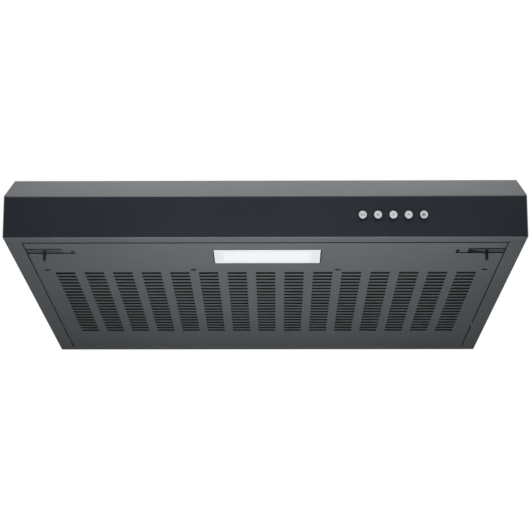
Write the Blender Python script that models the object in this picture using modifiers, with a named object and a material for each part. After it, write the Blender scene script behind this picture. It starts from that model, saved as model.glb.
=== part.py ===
"""Slim under cabinet range hood, as an assembly of its separate pieces.

Units are metres and +Z is up. The origin is on the cabinet face (the flat top), in the middle of
the hood's width and of its depth. +X is to the right of a person in front of it and +Y is towards
the wall. A distance "behind" is measured along +Y from the bottom front edge.
"""

import math

import bmesh
import bpy
from mathutils import Matrix, Vector

# Driving sizes of the housing
WIDTH = 0.750
DEPTH = 0.480
HEIGHT = 0.112
SHEET = 0.001
GAP = 0.0003
FASCIA_RISE = 0.0588
FASCIA_LEAN = math.radians(15)
BAND_SLOPE = math.radians(45)
BAND_LAP = 0.014
FRONT_FLANGE = 0.0175
FRONT_LIP = 0.0075
SIDE_FLANGE = 0.0237
REAR_FLANGE = 0.0177
TOP_DOWNTURN = 0.012
KEYHOLE_SPAN = 0.600
KEYHOLE_FRONT = 0.080
KEYHOLE_BACK = 0.060
KEYHOLE_HEAD = 0.0055
KEYHOLE_SLOT = 0.0030
KEYHOLE_LENGTH = 0.014

# Hinged grille
PANEL_GAP = 0.0010
PANEL_RIM = 0.0065
SLOT_SIDE_MARGIN = 0.025
SLOT_REAR_MARGIN = 0.080
SLOT_LENGTH = 0.0292
SLOT_WIDTH = 0.0068
COLUMN_PITCH = 0.0438
ROW_PITCH = 0.0125
FIRST_ROW = 0.1280
HINGE_INSET = 0.012
HINGE_RISE = 0.004
HINGE_PIN = 0.0020
HINGE_REACH = 0.006
BRACKET_HALF = 0.009
BRACKET_DEPTH = 0.013
BRACKET_RISE = 0.008
PIN_CLEARANCE = 0.0003
NOTCH_BEHIND = 0.1145
NOTCH_LENGTH = 0.0085
NOTCH_WIDTH = 0.0040
NOTCH_X = (0.1095, 0.3320)

# Lamp
LENS_WIDTH = 0.1590
LENS_DEPTH = 0.0485
LENS_BEHIND = 0.0660
LENS_X = 0.0030
LENS_CORNER = 0.0040
LENS_PROUD = 0.0008
LENS_LIP = 0.0040
LENS_LIP_THICK = 0.0014
TRAY_MARGIN = 0.0040
TRAY_HEIGHT = 0.018
BOARD_WIDTH = 0.014
BOARD_THICK = 0.0016
BOARD_MARGIN = 0.003

# Latches
POCKET_LENGTH = 0.0550
POCKET_FRONT = 0.0375
POCKET_WIDTH = 0.0175
BOLT_WIDTH = 0.0115
BOLT_THICK = 0.0015
BOLT_BACK = 0.0005
BOLT_TAIL = 0.0300
TAIL_WIDTH = 0.0050
TAIL_END = 0.0090
FIN_INSET = 0.0255
FIN_THICK = 0.0028
FIN_DEPTH = 0.0090
FIN_DROP = 0.0130
GUIDE_WIDTH = 0.0060
GUIDE_FOOT = 0.0060
HOOK_LENGTH = 0.0175
HOOK_RISE = 0.0120
HOOK_WIDTH = 0.0024

# Filter
FILTER_FRONT = 0.1215
FILTER_MARGIN = 0.0090
FILTER_REAR = 0.0300
FILTER_THICK = 0.0040
FILTER_WIRE = 0.0012
WIRE_BEND = 0.008
WIRE_HOOK = 0.0020

# Duct collar and damper
COLLAR_TO_WALL = 0.095
DUCT_RADIUS = 0.060
COLLAR_WALL = 0.002
COLLAR_HEIGHT = 0.040
COLLAR_FLANGE = 0.016
FLANGE_THICK = 0.002
DAMPER_RISE = 0.0083
DAMPER_THICK = 0.0012
DAMPER_CLEARANCE = 0.0010
DAMPER_PIN = 0.0015
KNUCKLE_WALL = 0.0013
KNUCKLE_LENGTH = 0.014
KNUCKLE_STARTS = (-0.036, 0.004)
KNUCKLE_CLEARANCE = 0.0004
LEDGE_WIDTH = 0.003
LEDGE_THICK = 0.0020

# Blower
FAN_TO_COLLAR = 0.165
IMPELLER_RADIUS = 0.092
BLADE_COUNT = 20
BLADE_CHORD = 0.016
BLADE_THICK = 0.0012
BLADE_PITCH = math.radians(35)
CASING_WALL = 0.0012
TONGUE_CLEARANCE = 0.010
SCROLL_GROWTH = 0.043
TONGUE_ANGLE = math.radians(110)
CHAMBER_LEFT = 0.070
CHAMBER_MARGIN = 0.008
CASING_TAB = 0.014
TAB_HOLE = 0.0084
TAB_THICK = 0.0015
INLET_RADIUS = 0.080
GUARD_FLANGE = 0.014
GUARD_THICK = 0.002
GUARD_THROAT = 0.009
GUARD_WALL = 0.0016
GUARD_RINGS = 3
GUARD_SPOKES = 6
GUARD_BAR = 0.0035
GUARD_HUB = 0.014
MOTOR_RADIUS = 0.040
MOTOR_HEIGHT = 0.038
MOTOR_EDGE = 0.004
MOTOR_PLATE = 0.056
MOTOR_PLATE_THICK = 0.002
BUSH_RADIUS = 0.006
BUSH_HEIGHT = 0.006
BUSH_CIRCLE = 0.032
SHAFT_RADIUS = 0.004
SHAFT_CLEARANCE = 0.0004
SHAFT_IN_MOTOR = 0.015
HUB_WALL = 0.0018
HUB_BOSS = 0.010
BOSS_RADIUS = 0.0096
HUB_CLEARANCE = 0.006
HUB_EDGE = 0.005
NUT_HEIGHT = 0.005
NUT_CLEARANCE = 0.0111
DISC_DROP = 0.0115
RING_HEIGHT = 0.0025
RING_CLEARANCE = 0.003

# Push buttons and their switch block
BUTTON_NAMES = ("high", "medium", "low", "off", "light")
BUTTON_RADIUS = 0.0064
BUTTON_PITCH = 0.0218
BUTTON_ROW_X = 0.1832
BUTTON_ROW_RISE = 0.0321
BUTTON_PROUD = 0.0040
BUTTON_EDGE = 0.0008
BUTTON_TRAVEL = 0.0035
BUTTON_CLEARANCE = 0.0007
BUTTON_COLLAR = 0.0018
COLLAR_THICK = 0.0017
STEM_RADIUS = 0.0025
STEM_REACH = 0.0030
STOP_CLEARANCE = 0.0045
SWITCH_THICK = 0.022
SWITCH_TALL = 0.024
SWITCH_END = 0.012
WELL_CLEARANCE = 0.0005
WELL_END = 0.0045
BRACKET_TALL = 0.018
BRACKET_FOOT = 0.010

# Electrical box, capacitor, cable entry and wires
BOX_LEFT = 0.281
BOX_TO_WALL = 0.164
BOX_SIZE = (0.076, 0.070, 0.040)
BOX_WALL = 0.002
LID_THICK = 0.0025
CAPACITOR_RADIUS = 0.016
CAPACITOR_LENGTH = 0.056
CAPACITOR_TO_WALL = 0.090
GROMMET_LEFT = 0.210
GROMMET_TO_WALL = 0.044
GROMMET_HOLE = 0.009
GROMMET_BORE = 0.004
GROMMET_LIP = 0.003
WIRE_RADIUS = 0.002
WIRE_HOLE = 0.0032

# Screws
SCREW_SHANK = 0.0018
SCREW_HEAD = 0.0037
SCREW_HEAD_THICK = 0.0022
SCREW_CLEARANCE = 0.0004

# Derived places
FRONT = -DEPTH / 2
BACK = DEPTH / 2
TOP = 0.0
BOTTOM = -HEIGHT
INNER_X = WIDTH / 2 - SHEET - GAP
OPENING_X = WIDTH / 2 - SIDE_FLANGE
PANEL_X = OPENING_X - PANEL_GAP
PANEL_FRONT = FRONT + FRONT_FLANGE + PANEL_GAP
PANEL_BACK = BACK - REAR_FLANGE - PANEL_GAP
PANEL_TOP = BOTTOM + SHEET
SIDE_COLUMNS = int((PANEL_X - SLOT_SIDE_MARGIN - SLOT_LENGTH / 2) / COLUMN_PITCH)
SLOT_ROWS = 1 + int((PANEL_BACK - SLOT_REAR_MARGIN - FRONT - FIRST_ROW) / ROW_PITCH)
HINGE_Y = PANEL_BACK - HINGE_INSET
HINGE_Z = BOTTOM + HINGE_RISE
BOX_CENTRE = (-BOX_LEFT, BACK - BOX_TO_WALL)
CAPACITOR_CENTRE = (-BOX_LEFT, BACK - CAPACITOR_TO_WALL)
GROMMET_CENTRE = (-GROMMET_LEFT, BACK - GROMMET_TO_WALL)
UNDER_TOP = TOP - SHEET
SWITCH_BACK = GAP + COLLAR_THICK + BUTTON_TRAVEL + STOP_CLEARANCE
WELL_DEPTH = STEM_REACH + BUTTON_TRAVEL + WELL_END
COLLAR_Y = BACK - COLLAR_TO_WALL
FAN_Y = COLLAR_Y - FAN_TO_COLLAR
CASING_TOP = UNDER_TOP - GAP
MOTOR_TOP = CASING_TOP - MOTOR_PLATE_THICK - BUSH_HEIGHT - 2 * GAP
MOTOR_BOTTOM = MOTOR_TOP - MOTOR_HEIGHT
HUB_TOP = MOTOR_BOTTOM - HUB_CLEARANCE
HUB_BOTTOM = HUB_TOP - HUB_BOSS
NUT_TOP = HUB_BOTTOM - GAP
NUT_BOTTOM = NUT_TOP - NUT_HEIGHT
CASING_BOTTOM = NUT_BOTTOM - NUT_CLEARANCE
SCROLL_START = IMPELLER_RADIUS + TONGUE_CLEARANCE
SCROLL_END = SCROLL_START + SCROLL_GROWTH
FLAP_RADIUS = DUCT_RADIUS - COLLAR_WALL - DAMPER_CLEARANCE
KNUCKLE_RADIUS = DAMPER_PIN + KNUCKLE_CLEARANCE + KNUCKLE_WALL
FLAP_EDGE = KNUCKLE_RADIUS + 2 * KNUCKLE_CLEARANCE
FASCIA_UP = Vector((-math.sin(FASCIA_LEAN), math.cos(FASCIA_LEAN)))
BAND_UP = Vector((math.cos(BAND_SLOPE), math.sin(BAND_SLOPE)))
BAND_OUT = Vector((-BAND_UP.y, BAND_UP.x))
FASCIA_FOOT = Vector((FRONT, BOTTOM))
NOSE = FASCIA_FOOT + FASCIA_UP * (FASCIA_RISE / math.cos(FASCIA_LEAN))
BAND_HEAD = NOSE + BAND_UP * ((TOP - NOSE.y) / math.sin(BAND_SLOPE))
SCREW_HOLE = SCREW_SHANK + SCREW_CLEARANCE
ROUND = 32
SMALL_ROUND = 16
SCROLL_STEPS = 33

parts = None
cutters = None


def clear_scene():
    """Removes every object and makes the two collections."""
    global parts, cutters
    for obj in list(bpy.data.objects):
        bpy.data.objects.remove(obj)
    parts = bpy.data.collections.new("range_hood")
    cutters = bpy.data.collections.new("cutters")
    for collection in (parts, cutters):
        bpy.context.scene.collection.children.link(collection)


def finish_of(name, colour, roughness, metallic):
    """A Principled BSDF material."""
    material = bpy.data.materials.get(name) or bpy.data.materials.new(name)
    material.use_nodes = True
    shader = material.node_tree.nodes["Principled BSDF"]
    shader.inputs["Base Color"].default_value = (*colour, 1)
    shader.inputs["Roughness"].default_value = roughness
    shader.inputs["Metallic"].default_value = metallic
    return material


def painted_steel():
    return finish_of("painted steel", (0.085, 0.092, 0.100), 0.45, 0.3)


def galvanised_steel():
    return finish_of("galvanised steel", (0.50, 0.51, 0.52), 0.40, 0.9)


def bright_steel():
    return finish_of("bright steel", (0.62, 0.62, 0.63), 0.25, 1.0)


def chrome():
    return finish_of("chrome", (0.75, 0.75, 0.77), 0.12, 1.0)


def black_plastic():
    return finish_of("black plastic", (0.020, 0.020, 0.022), 0.50, 0.0)


def grey_plastic():
    return finish_of("grey plastic", (0.28, 0.28, 0.29), 0.55, 0.0)


def lamp_plastic():
    return finish_of("lamp plastic", (0.88, 0.90, 0.91), 0.25, 0.0)


def board_green():
    return finish_of("circuit board", (0.75, 0.77, 0.72), 0.50, 0.0)


def filter_fleece():
    return finish_of("filter fleece", (0.16, 0.16, 0.17), 0.95, 0.0)


def cable_sheath():
    return finish_of("cable sheath", (0.55, 0.55, 0.56), 0.55, 0.0)


def rubber():
    return finish_of("rubber", (0.030, 0.030, 0.030), 0.80, 0.0)


def add(name, mesh, material, collection=None):
    """Links a new object, in the parts unless another collection is given."""
    obj = bpy.data.objects.new(name, mesh)
    (collection or parts).objects.link(obj)
    if material:
        mesh.materials.append(material)
    return obj


def helper(obj):
    """Makes an object a guide for a Boolean, which isn't a piece itself."""
    for collection in list(obj.users_collection):
        collection.objects.unlink(obj)
    cutters.objects.link(obj)
    obj.hide_render = True
    obj.display_type = "WIRE"
    return obj


def combine(obj, other, operation, solver="EXACT"):
    modifier = obj.modifiers.new(operation.lower(), "BOOLEAN")
    modifier.operation = operation
    modifier.solver = solver
    modifier.object = helper(other)
    return obj


def cut(obj, *others):
    for other in others:
        combine(obj, other, "DIFFERENCE")
    return obj


def join(obj, *others):
    for other in others:
        combine(obj, other, "UNION")
    return obj


def box(name, low, high, material=None):
    """An upright box between two corners."""
    low, high = Vector(low), Vector(high)
    shape = bmesh.new()
    bmesh.ops.create_cube(shape, size=1)
    bmesh.ops.scale(shape, vec=high - low, verts=shape.verts)
    mesh = bpy.data.meshes.new(name)
    shape.to_mesh(mesh)
    shape.free()
    obj = add(name, mesh, material)
    obj.location = (low + high) / 2
    return obj


def cylinder(name, radius, low, high, material=None, segments=SMALL_ROUND):
    """A closed cylinder whose axis runs from low to high."""
    low, high = Vector(low), Vector(high)
    shape = bmesh.new()
    bmesh.ops.create_cone(
        shape,
        cap_ends=True,
        segments=segments,
        radius1=radius,
        radius2=radius,
        depth=(high - low).length,
    )
    mesh = bpy.data.meshes.new(name)
    shape.to_mesh(mesh)
    shape.free()
    mesh.shade_smooth()
    mesh.set_sharp_from_angle(angle=math.radians(40))
    obj = add(name, mesh, material)
    obj.location = (low + high) / 2
    obj.rotation_euler = (high - low).to_track_quat("Z", "Y").to_euler()
    return obj


def turned(name, profile, material=None, segments=ROUND):
    """A profile of (radius, height) points turned about Z. A profile off the axis is a closed loop,
    clockwise with the radius to the right; one on the axis runs from the top of it to the bottom."""
    shape = bmesh.new()
    corners = [shape.verts.new((radius, 0, height)) for radius, height in profile]
    for first, second in zip(corners, corners[1:]):
        shape.edges.new((first, second))
    if min(radius for radius, _ in profile) > 0:
        shape.edges.new((corners[-1], corners[0]))
    mesh = bpy.data.meshes.new(name)
    shape.to_mesh(mesh)
    shape.free()
    obj = add(name, mesh, material)
    screw = obj.modifiers.new("turn", "SCREW")
    screw.steps = screw.render_steps = segments
    screw.use_merge_vertices = True
    screw.merge_threshold = 0.00001
    return obj


def folded_sheet(name, profile, low, high, material, thickness=SHEET):
    """Sheet metal whose outer surface follows a profile of (y, z) points from low to high along X.
    The outer side is on the left of the profile's direction, seen with +Y to the right and +Z up."""
    shape = bmesh.new()
    rows = [
        (shape.verts.new((low, y, z)), shape.verts.new((high, y, z))) for y, z in profile
    ]
    for (a, b), (c, d) in zip(rows, rows[1:]):
        shape.faces.new((a, b, d, c))
    mesh = bpy.data.meshes.new(name)
    shape.to_mesh(mesh)
    shape.free()
    obj = add(name, mesh, material)
    solidify(obj, thickness)
    return obj


def solidify(obj, thickness):
    """Gives an open surface its wall, behind its outer faces."""
    wall = obj.modifiers.new("wall", "SOLIDIFY")
    wall.thickness = thickness
    wall.offset = -1
    wall.use_even_offset = True


def flat_outline(name, outlines, extrude=0.0):
    """A flat shape in the XY plane from its outer outline and its holes, as a mesh. Extrude is its
    full thickness, centred on the plane."""
    curve = bpy.data.curves.new(name, "CURVE")
    curve.dimensions = "2D"
    curve.fill_mode = "BOTH"
    curve.extrude = extrude / 2
    for outline in outlines:
        spline = curve.splines.new("POLY")
        spline.points.add(len(outline) - 1)
        for point, (x, y) in zip(spline.points, outline):
            point.co = (x, y, 0, 1)
        spline.use_cyclic_u = True
    guide = bpy.data.objects.new(name, curve)
    cutters.objects.link(guide)
    graph = bpy.context.evaluated_depsgraph_get()
    mesh = bpy.data.meshes.new_from_object(guide.evaluated_get(graph))
    bpy.data.objects.remove(guide)
    shape = bmesh.new()
    shape.from_mesh(mesh)
    bmesh.ops.remove_doubles(shape, verts=shape.verts, dist=0.000001)
    bmesh.ops.recalc_face_normals(shape, faces=shape.faces)
    shape.to_mesh(mesh)
    shape.free()
    mesh.name = name
    return mesh


def plate(name, outlines, low, high, material=None):
    """A flat plate from low to high in Z."""
    obj = add(name, flat_outline(name, outlines, high - low), material)
    obj.location = (0, 0, (low + high) / 2)
    return obj


def rectangle(x, y, width, depth):
    """Corner points of a rectangle about its centre."""
    return [
        (x + width / 2 * a, y + depth / 2 * b) for a, b in ((-1, -1), (1, -1), (1, 1), (-1, 1))
    ]


def arc(x, y, radius, start, end, count):
    """Points along an arc, from start to end in radians."""
    angles = [start + (end - start) * step / (count - 1) for step in range(count)]
    return [(x + radius * math.cos(a), y + radius * math.sin(a)) for a in angles]


def circle(x, y, radius, count):
    return arc(x, y, radius, 0, 2 * math.pi, count + 1)[:-1]


def rounded_rectangle(x, y, width, depth, radius, count=4):
    """Outline of a rectangle with round corners."""
    points = []
    for quarter, (a, b) in enumerate(((1, 1), (-1, 1), (-1, -1), (1, -1))):
        start = quarter * math.pi / 2
        corner_x = x + a * (width / 2 - radius)
        corner_y = y + b * (depth / 2 - radius)
        points += arc(corner_x, corner_y, radius, start, start + math.pi / 2, count)
    return points


def tube(name, points, radius, material, resolution=2):
    """A wire with closed ends through points close together."""
    curve = bpy.data.curves.new(name, "CURVE")
    curve.dimensions = "3D"
    curve.bevel_depth = radius
    curve.bevel_resolution = resolution
    curve.use_fill_caps = True
    spline = curve.splines.new("POLY")
    spline.points.add(len(points) - 1)
    for point, place in zip(spline.points, points):
        point.co = (*place, 1)
    obj = bpy.data.objects.new(name, curve)
    parts.objects.link(obj)
    curve.materials.append(material)
    return obj


def bent_path(corners, radius, count=4):
    """A path through corners, each rounded to a radius."""
    corners = [Vector(corner) for corner in corners]
    path = [corners[0]]
    for before, corner, after in zip(corners, corners[1:], corners[2:]):
        way_in = (before - corner).normalized()
        way_out = (after - corner).normalized()
        half = way_in.angle(way_out) / 2
        reach = radius / math.tan(half)
        centre = corner + (way_in + way_out).normalized() * (radius / math.sin(half))
        start = corner + way_in * reach - centre
        end = corner + way_out * reach - centre
        start.normalize()
        end.normalize()
        path += [centre + radius * start.slerp(end, step / (count - 1)) for step in range(count)]
    return path + [corners[-1]]


def smooth_route(points, steps=3):
    """A smooth curve through a few points, by Catmull-Rom, whose first and last stretch is straight."""
    points = [Vector(point) for point in points]
    start, end = points[0], points[-1]
    points = points[1:-1]
    ends = [start, *points, end]
    route = [start]
    for p0, p1, p2, p3 in zip(ends, ends[1:], ends[2:], ends[3:]):
        for step in range(steps):
            t = step / steps
            route.append(
                0.5 * (2 * p1 + (p2 - p0) * t + (2 * p0 - 5 * p1 + 4 * p2 - p3) * t**2
                + (3 * p1 - p0 - 3 * p2 + p3) * t**3)
            )
    return route + [points[-1], end]


def axis_at(name, place):
    """An empty on a joint's axis, which a moving piece hangs from."""
    empty = bpy.data.objects.new(name, None)
    empty.location = place
    parts.objects.link(empty)
    return empty


def hang(empty, *objects):
    """Parents pieces to an empty and leaves them where they are."""
    bpy.context.view_layer.update()
    for obj in objects:
        obj.parent = empty
        obj.matrix_parent_inverse = empty.matrix_world.inverted()


def make_side_panel(side, name):
    """Side wall with its inward bottom flange. Side is 1 on the right and -1 on the left."""
    outer = side * WIDTH / 2
    outline = [(FRONT, BOTTOM), (BACK, BOTTOM), (BACK, TOP), tuple(BAND_HEAD), tuple(NOSE)]
    wall = add(name, flat_outline(name, [outline], SHEET), painted_steel())
    wall.rotation_euler = (math.radians(90), 0, math.radians(90))
    wall.location = (outer - side * SHEET / 2, 0, 0)
    ends = sorted((side * OPENING_X, outer - side * SHEET / 2))
    flange = box(
        name + "_flange",
        (ends[0], FRONT + FRONT_FLANGE + GAP, BOTTOM),
        (ends[1], BACK - REAR_FLANGE - GAP, BOTTOM + SHEET),
    )
    return join(wall, flange)


def keyhole(x, y):
    """Cutter for a keyhole whose slot runs to the back."""
    head = cylinder(
        "keyhole", KEYHOLE_HEAD, (x, y, TOP - 2 * SHEET), (x, y, TOP + SHEET), segments=SMALL_ROUND
    )
    slot = box(
        "keyhole_slot",
        (x - KEYHOLE_SLOT, y, TOP - 2 * SHEET),
        (x + KEYHOLE_SLOT, y + KEYHOLE_LENGTH, TOP + SHEET),
    )
    return head, slot


def make_top_panel():
    """Top plate and sloped band, folded from one sheet, with the holes that it needs. The top has
    one plain stretch in front of the collar, where nothing stands on it, and one behind."""
    rear = BACK - SHEET - GAP
    front_of_collar = COLLAR_Y - DUCT_RADIUS - 2 * COLLAR_FLANGE
    profile = [
        tuple(NOSE),
        tuple(BAND_HEAD),
        (front_of_collar, TOP),
        (rear, TOP),
        (rear, TOP - TOP_DOWNTURN),
    ]
    panel = folded_sheet("top_panel", profile, -INNER_X, INNER_X, painted_steel())
    low, high = TOP - 2 * SHEET, TOP + SHEET
    cut(
        panel,
        cylinder("duct_hole", DUCT_RADIUS, (0, COLLAR_Y, low), (0, COLLAR_Y, high), segments=ROUND),
        cylinder("grommet_hole", GROMMET_HOLE, (*GROMMET_CENTRE, low), (*GROMMET_CENTRE, high)),
    )
    for side in (-1, 1):
        for y in (FRONT + KEYHOLE_FRONT, BACK - KEYHOLE_BACK):
            cut(panel, *keyhole(side * KEYHOLE_SPAN / 2, y))
    for x, y in casing_screw_places() + collar_screw_places():
        cut(panel, cylinder("screw_hole", SCREW_HOLE, (x, y, low), (x, y, high), segments=8))
    return panel


def make_back_panel():
    """Back wall with its bottom flange."""
    profile = [(BACK, TOP), (BACK, BOTTOM), (BACK - REAR_FLANGE, BOTTOM)]
    return folded_sheet("back_panel", profile, -INNER_X, INNER_X, painted_steel())


def make_front_panel():
    """Fascia with its bottom flange and the return that laps under the band."""
    lap = SHEET + GAP
    nose = NOSE - FASCIA_UP * (lap / FASCIA_UP.dot(BAND_OUT))
    flange_end = FRONT + FRONT_FLANGE
    profile = [
        (flange_end, BOTTOM + FRONT_LIP),
        (flange_end, BOTTOM),
        tuple(FASCIA_FOOT),
        tuple(nose),
        tuple(nose + BAND_UP * BAND_LAP),
    ]
    panel = folded_sheet("front_panel", profile, -INNER_X, INNER_X, painted_steel())
    for index in range(len(BUTTON_NAMES)):
        place = button_place(index)
        reach = fascia_inward() * (4 * SHEET)
        hole = BUTTON_RADIUS + BUTTON_CLEARANCE
        cut(panel, cylinder("button_hole", hole, place - reach, place + reach, segments=16))
    return panel


def fascia_inward():
    """Unit vector from the fascia's face into the hood."""
    return Vector((0, math.cos(FASCIA_LEAN), math.sin(FASCIA_LEAN)))


def button_place(index):
    """Centre of a button on the fascia's face."""
    middle = (len(BUTTON_NAMES) - 1) / 2
    foot = FASCIA_FOOT + FASCIA_UP * BUTTON_ROW_RISE
    return Vector((BUTTON_ROW_X + (index - middle) * BUTTON_PITCH, foot.x, foot.y))


def make_grille_panel():
    """Hinged bottom panel with its slots, rim, lens window, filter notches and latch pockets."""
    middle = (PANEL_FRONT + PANEL_BACK) / 2
    outlines = [rectangle(0, middle, 2 * PANEL_X, PANEL_BACK - PANEL_FRONT)]
    for column in range(-SIDE_COLUMNS, SIDE_COLUMNS + 1):
        for row in range(SLOT_ROWS):
            y = FRONT + FIRST_ROW + row * ROW_PITCH
            outlines.append(rectangle(column * COLUMN_PITCH, y, SLOT_LENGTH, SLOT_WIDTH))
    window = (LENS_WIDTH + 2 * GAP, LENS_DEPTH + 2 * GAP, LENS_CORNER + GAP)
    outlines.append(rounded_rectangle(LENS_X, FRONT + LENS_BEHIND, *window))
    for side in (-1, 1):
        for x in NOTCH_X:
            outlines.append(rectangle(side * x, FRONT + NOTCH_BEHIND, NOTCH_LENGTH, NOTCH_WIDTH))
    mesh = flat_outline("grille_panel", outlines)
    shape = bmesh.new()
    shape.from_mesh(mesh)
    inner_edges = [edge for edge in shape.edges if not edge.is_boundary]
    bmesh.ops.beautify_fill(shape, faces=shape.faces, edges=inner_edges)
    near = 0.00001
    border = [
        edge
        for edge in shape.edges
        if edge.is_boundary
        and all(
            abs(abs(vert.co.x) - PANEL_X) < near
            or abs(vert.co.y - PANEL_FRONT) < near
            or abs(vert.co.y - PANEL_BACK) < near
            for vert in edge.verts
        )
    ]
    rim = bmesh.ops.extrude_edge_only(shape, edges=border)["geom"]
    raised = [item for item in rim if isinstance(item, bmesh.types.BMVert)]
    bmesh.ops.translate(shape, vec=(0, 0, PANEL_RIM), verts=raised)
    shape.normal_update()
    if sum(face.normal.z for face in shape.faces) > 0:
        bmesh.ops.reverse_faces(shape, faces=shape.faces)
    shape.to_mesh(mesh)
    shape.free()
    panel = add("grille_panel", mesh, painted_steel())
    panel.location = (0, 0, BOTTOM)
    solidify(panel, SHEET)
    for side in (-1, 1):
        for cutter in (pocket_cutter(side), *hook_cutters(side), rim_hole_cutter(side)):
            combine(panel, cutter, "DIFFERENCE", "MANIFOLD")
    return panel


def side_box(name, side, inner, outer, front, back, low, high, material=None):
    """A box given by its distances from the middle, mirrored by side."""
    ends = sorted((side * inner, side * outer))
    return box(name, (ends[0], front, low), (ends[1], back, high), material)


def pocket_cutter(side):
    """Opening for the latch, from the panel's side edge inwards, through its rim too."""
    front = FRONT + POCKET_FRONT
    return side_box(
        "pocket", side, OPENING_X - POCKET_LENGTH, PANEL_X + SHEET, front, front + POCKET_WIDTH,
        BOTTOM - SHEET, BOTTOM + 2 * PANEL_RIM,
    )


def hook_cutters(side):
    """The hooked slot at the pocket's inner end."""
    inner = OPENING_X - POCKET_LENGTH
    back = FRONT + POCKET_FRONT + POCKET_WIDTH - BOLT_BACK
    low, high = BOTTOM - SHEET, BOTTOM + 2 * SHEET
    along = side_box(
        "hook", side, inner - HOOK_LENGTH, inner + SHEET, back - HOOK_WIDTH, back, low, high
    )
    upturn = side_box(
        "hook_end", side, inner - HOOK_LENGTH, inner - HOOK_LENGTH + HOOK_WIDTH,
        back - HOOK_RISE, back - HOOK_WIDTH / 2, low, high,
    )
    return along, upturn


def rim_hole_cutter(side):
    """Hole in the rim that turns on the hinge pin."""
    reach = 3 * SHEET
    return cylinder(
        "rim_hole", HINGE_PIN + PIN_CLEARANCE,
        (side * (PANEL_X - reach), HINGE_Y, HINGE_Z), (side * (PANEL_X + reach), HINGE_Y, HINGE_Z),
    )


def make_hinge(side, word):
    """Hinge bracket on the side flange and the pin that it carries."""
    upright = OPENING_X + 2 * SHEET
    floor = BOTTOM + SHEET + GAP
    front, back = HINGE_Y - BRACKET_HALF, HINGE_Y + BRACKET_HALF
    bracket = side_box(
        "hinge_bracket_" + word, side, upright, upright + BRACKET_DEPTH,
        front, back, floor, floor + SHEET, galvanised_steel(),
    )
    wall = side_box(
        "hinge_upright", side, upright, upright + 1.5 * SHEET,
        front, back, floor, HINGE_Z + BRACKET_RISE,
    )
    join(bracket, wall)
    inner, outer = PANEL_X - HINGE_REACH, upright + HINGE_REACH
    cut(
        bracket,
        cylinder(
            "bracket_hole", HINGE_PIN + PIN_CLEARANCE,
            (side * (upright - SHEET), HINGE_Y, HINGE_Z),
            (side * (outer + SHEET), HINGE_Y, HINGE_Z),
        ),
    )
    pin = cylinder(
        "hinge_pin_" + word, HINGE_PIN,
        (side * inner, HINGE_Y, HINGE_Z), (side * outer, HINGE_Y, HINGE_Z), bright_steel(),
    )
    return bracket, pin


def make_latch(side, word):
    """Sliding bolt with its finger fin, which the guide strap holds to the panel."""
    back = FRONT + POCKET_FRONT + POCKET_WIDTH - BOLT_BACK
    low = PANEL_TOP + GAP
    high = low + BOLT_THICK
    inner = OPENING_X - POCKET_LENGTH
    bolt = side_box(
        "latch_bolt_" + word, side, inner, PANEL_X, back - BOLT_WIDTH, back, low, high,
        galvanised_steel(),
    )
    tail_middle = back - BOLT_WIDTH / 2
    tail = side_box(
        "latch_tail", side, inner - BOLT_TAIL, inner + SHEET,
        tail_middle - TAIL_WIDTH / 2, tail_middle + TAIL_WIDTH / 2, low, high,
    )
    fin_outer = PANEL_X - FIN_INSET
    fin_front = tail_middle - FIN_DEPTH / 2
    fin = side_box(
        "latch_fin", side, fin_outer - FIN_THICK, fin_outer, fin_front, fin_front + FIN_DEPTH,
        BOTTOM - FIN_DROP, high - SHEET / 4,
    )
    join(bolt, tail, fin)
    strap_inner = inner - BOLT_TAIL + TAIL_END
    strap_outer = strap_inner + GUIDE_WIDTH
    ceiling = high + GAP
    half = TAIL_WIDTH / 2 + GAP
    guide = side_box(
        "latch_guide_" + word, side, strap_inner, strap_outer,
        tail_middle - half - GUIDE_FOOT, tail_middle + half + GUIDE_FOOT,
        low, ceiling + SHEET, galvanised_steel(),
    )
    cut(
        guide,
        side_box(
            "guide_way", side, strap_inner - SHEET, strap_outer + SHEET,
            tail_middle - half, tail_middle + half, low - SHEET, ceiling,
        ),
    )
    for toe in (-1, 1):
        edge = tail_middle + toe * (half + SHEET)
        end = tail_middle + toe * (half + 2 * GUIDE_FOOT)
        front, rear = sorted((edge, end))
        cut(
            guide,
            side_box(
                "guide_step", side, strap_inner - SHEET, strap_outer + SHEET,
                front, rear, low + SHEET, ceiling + 2 * SHEET,
            ),
        )
    return bolt, guide


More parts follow.
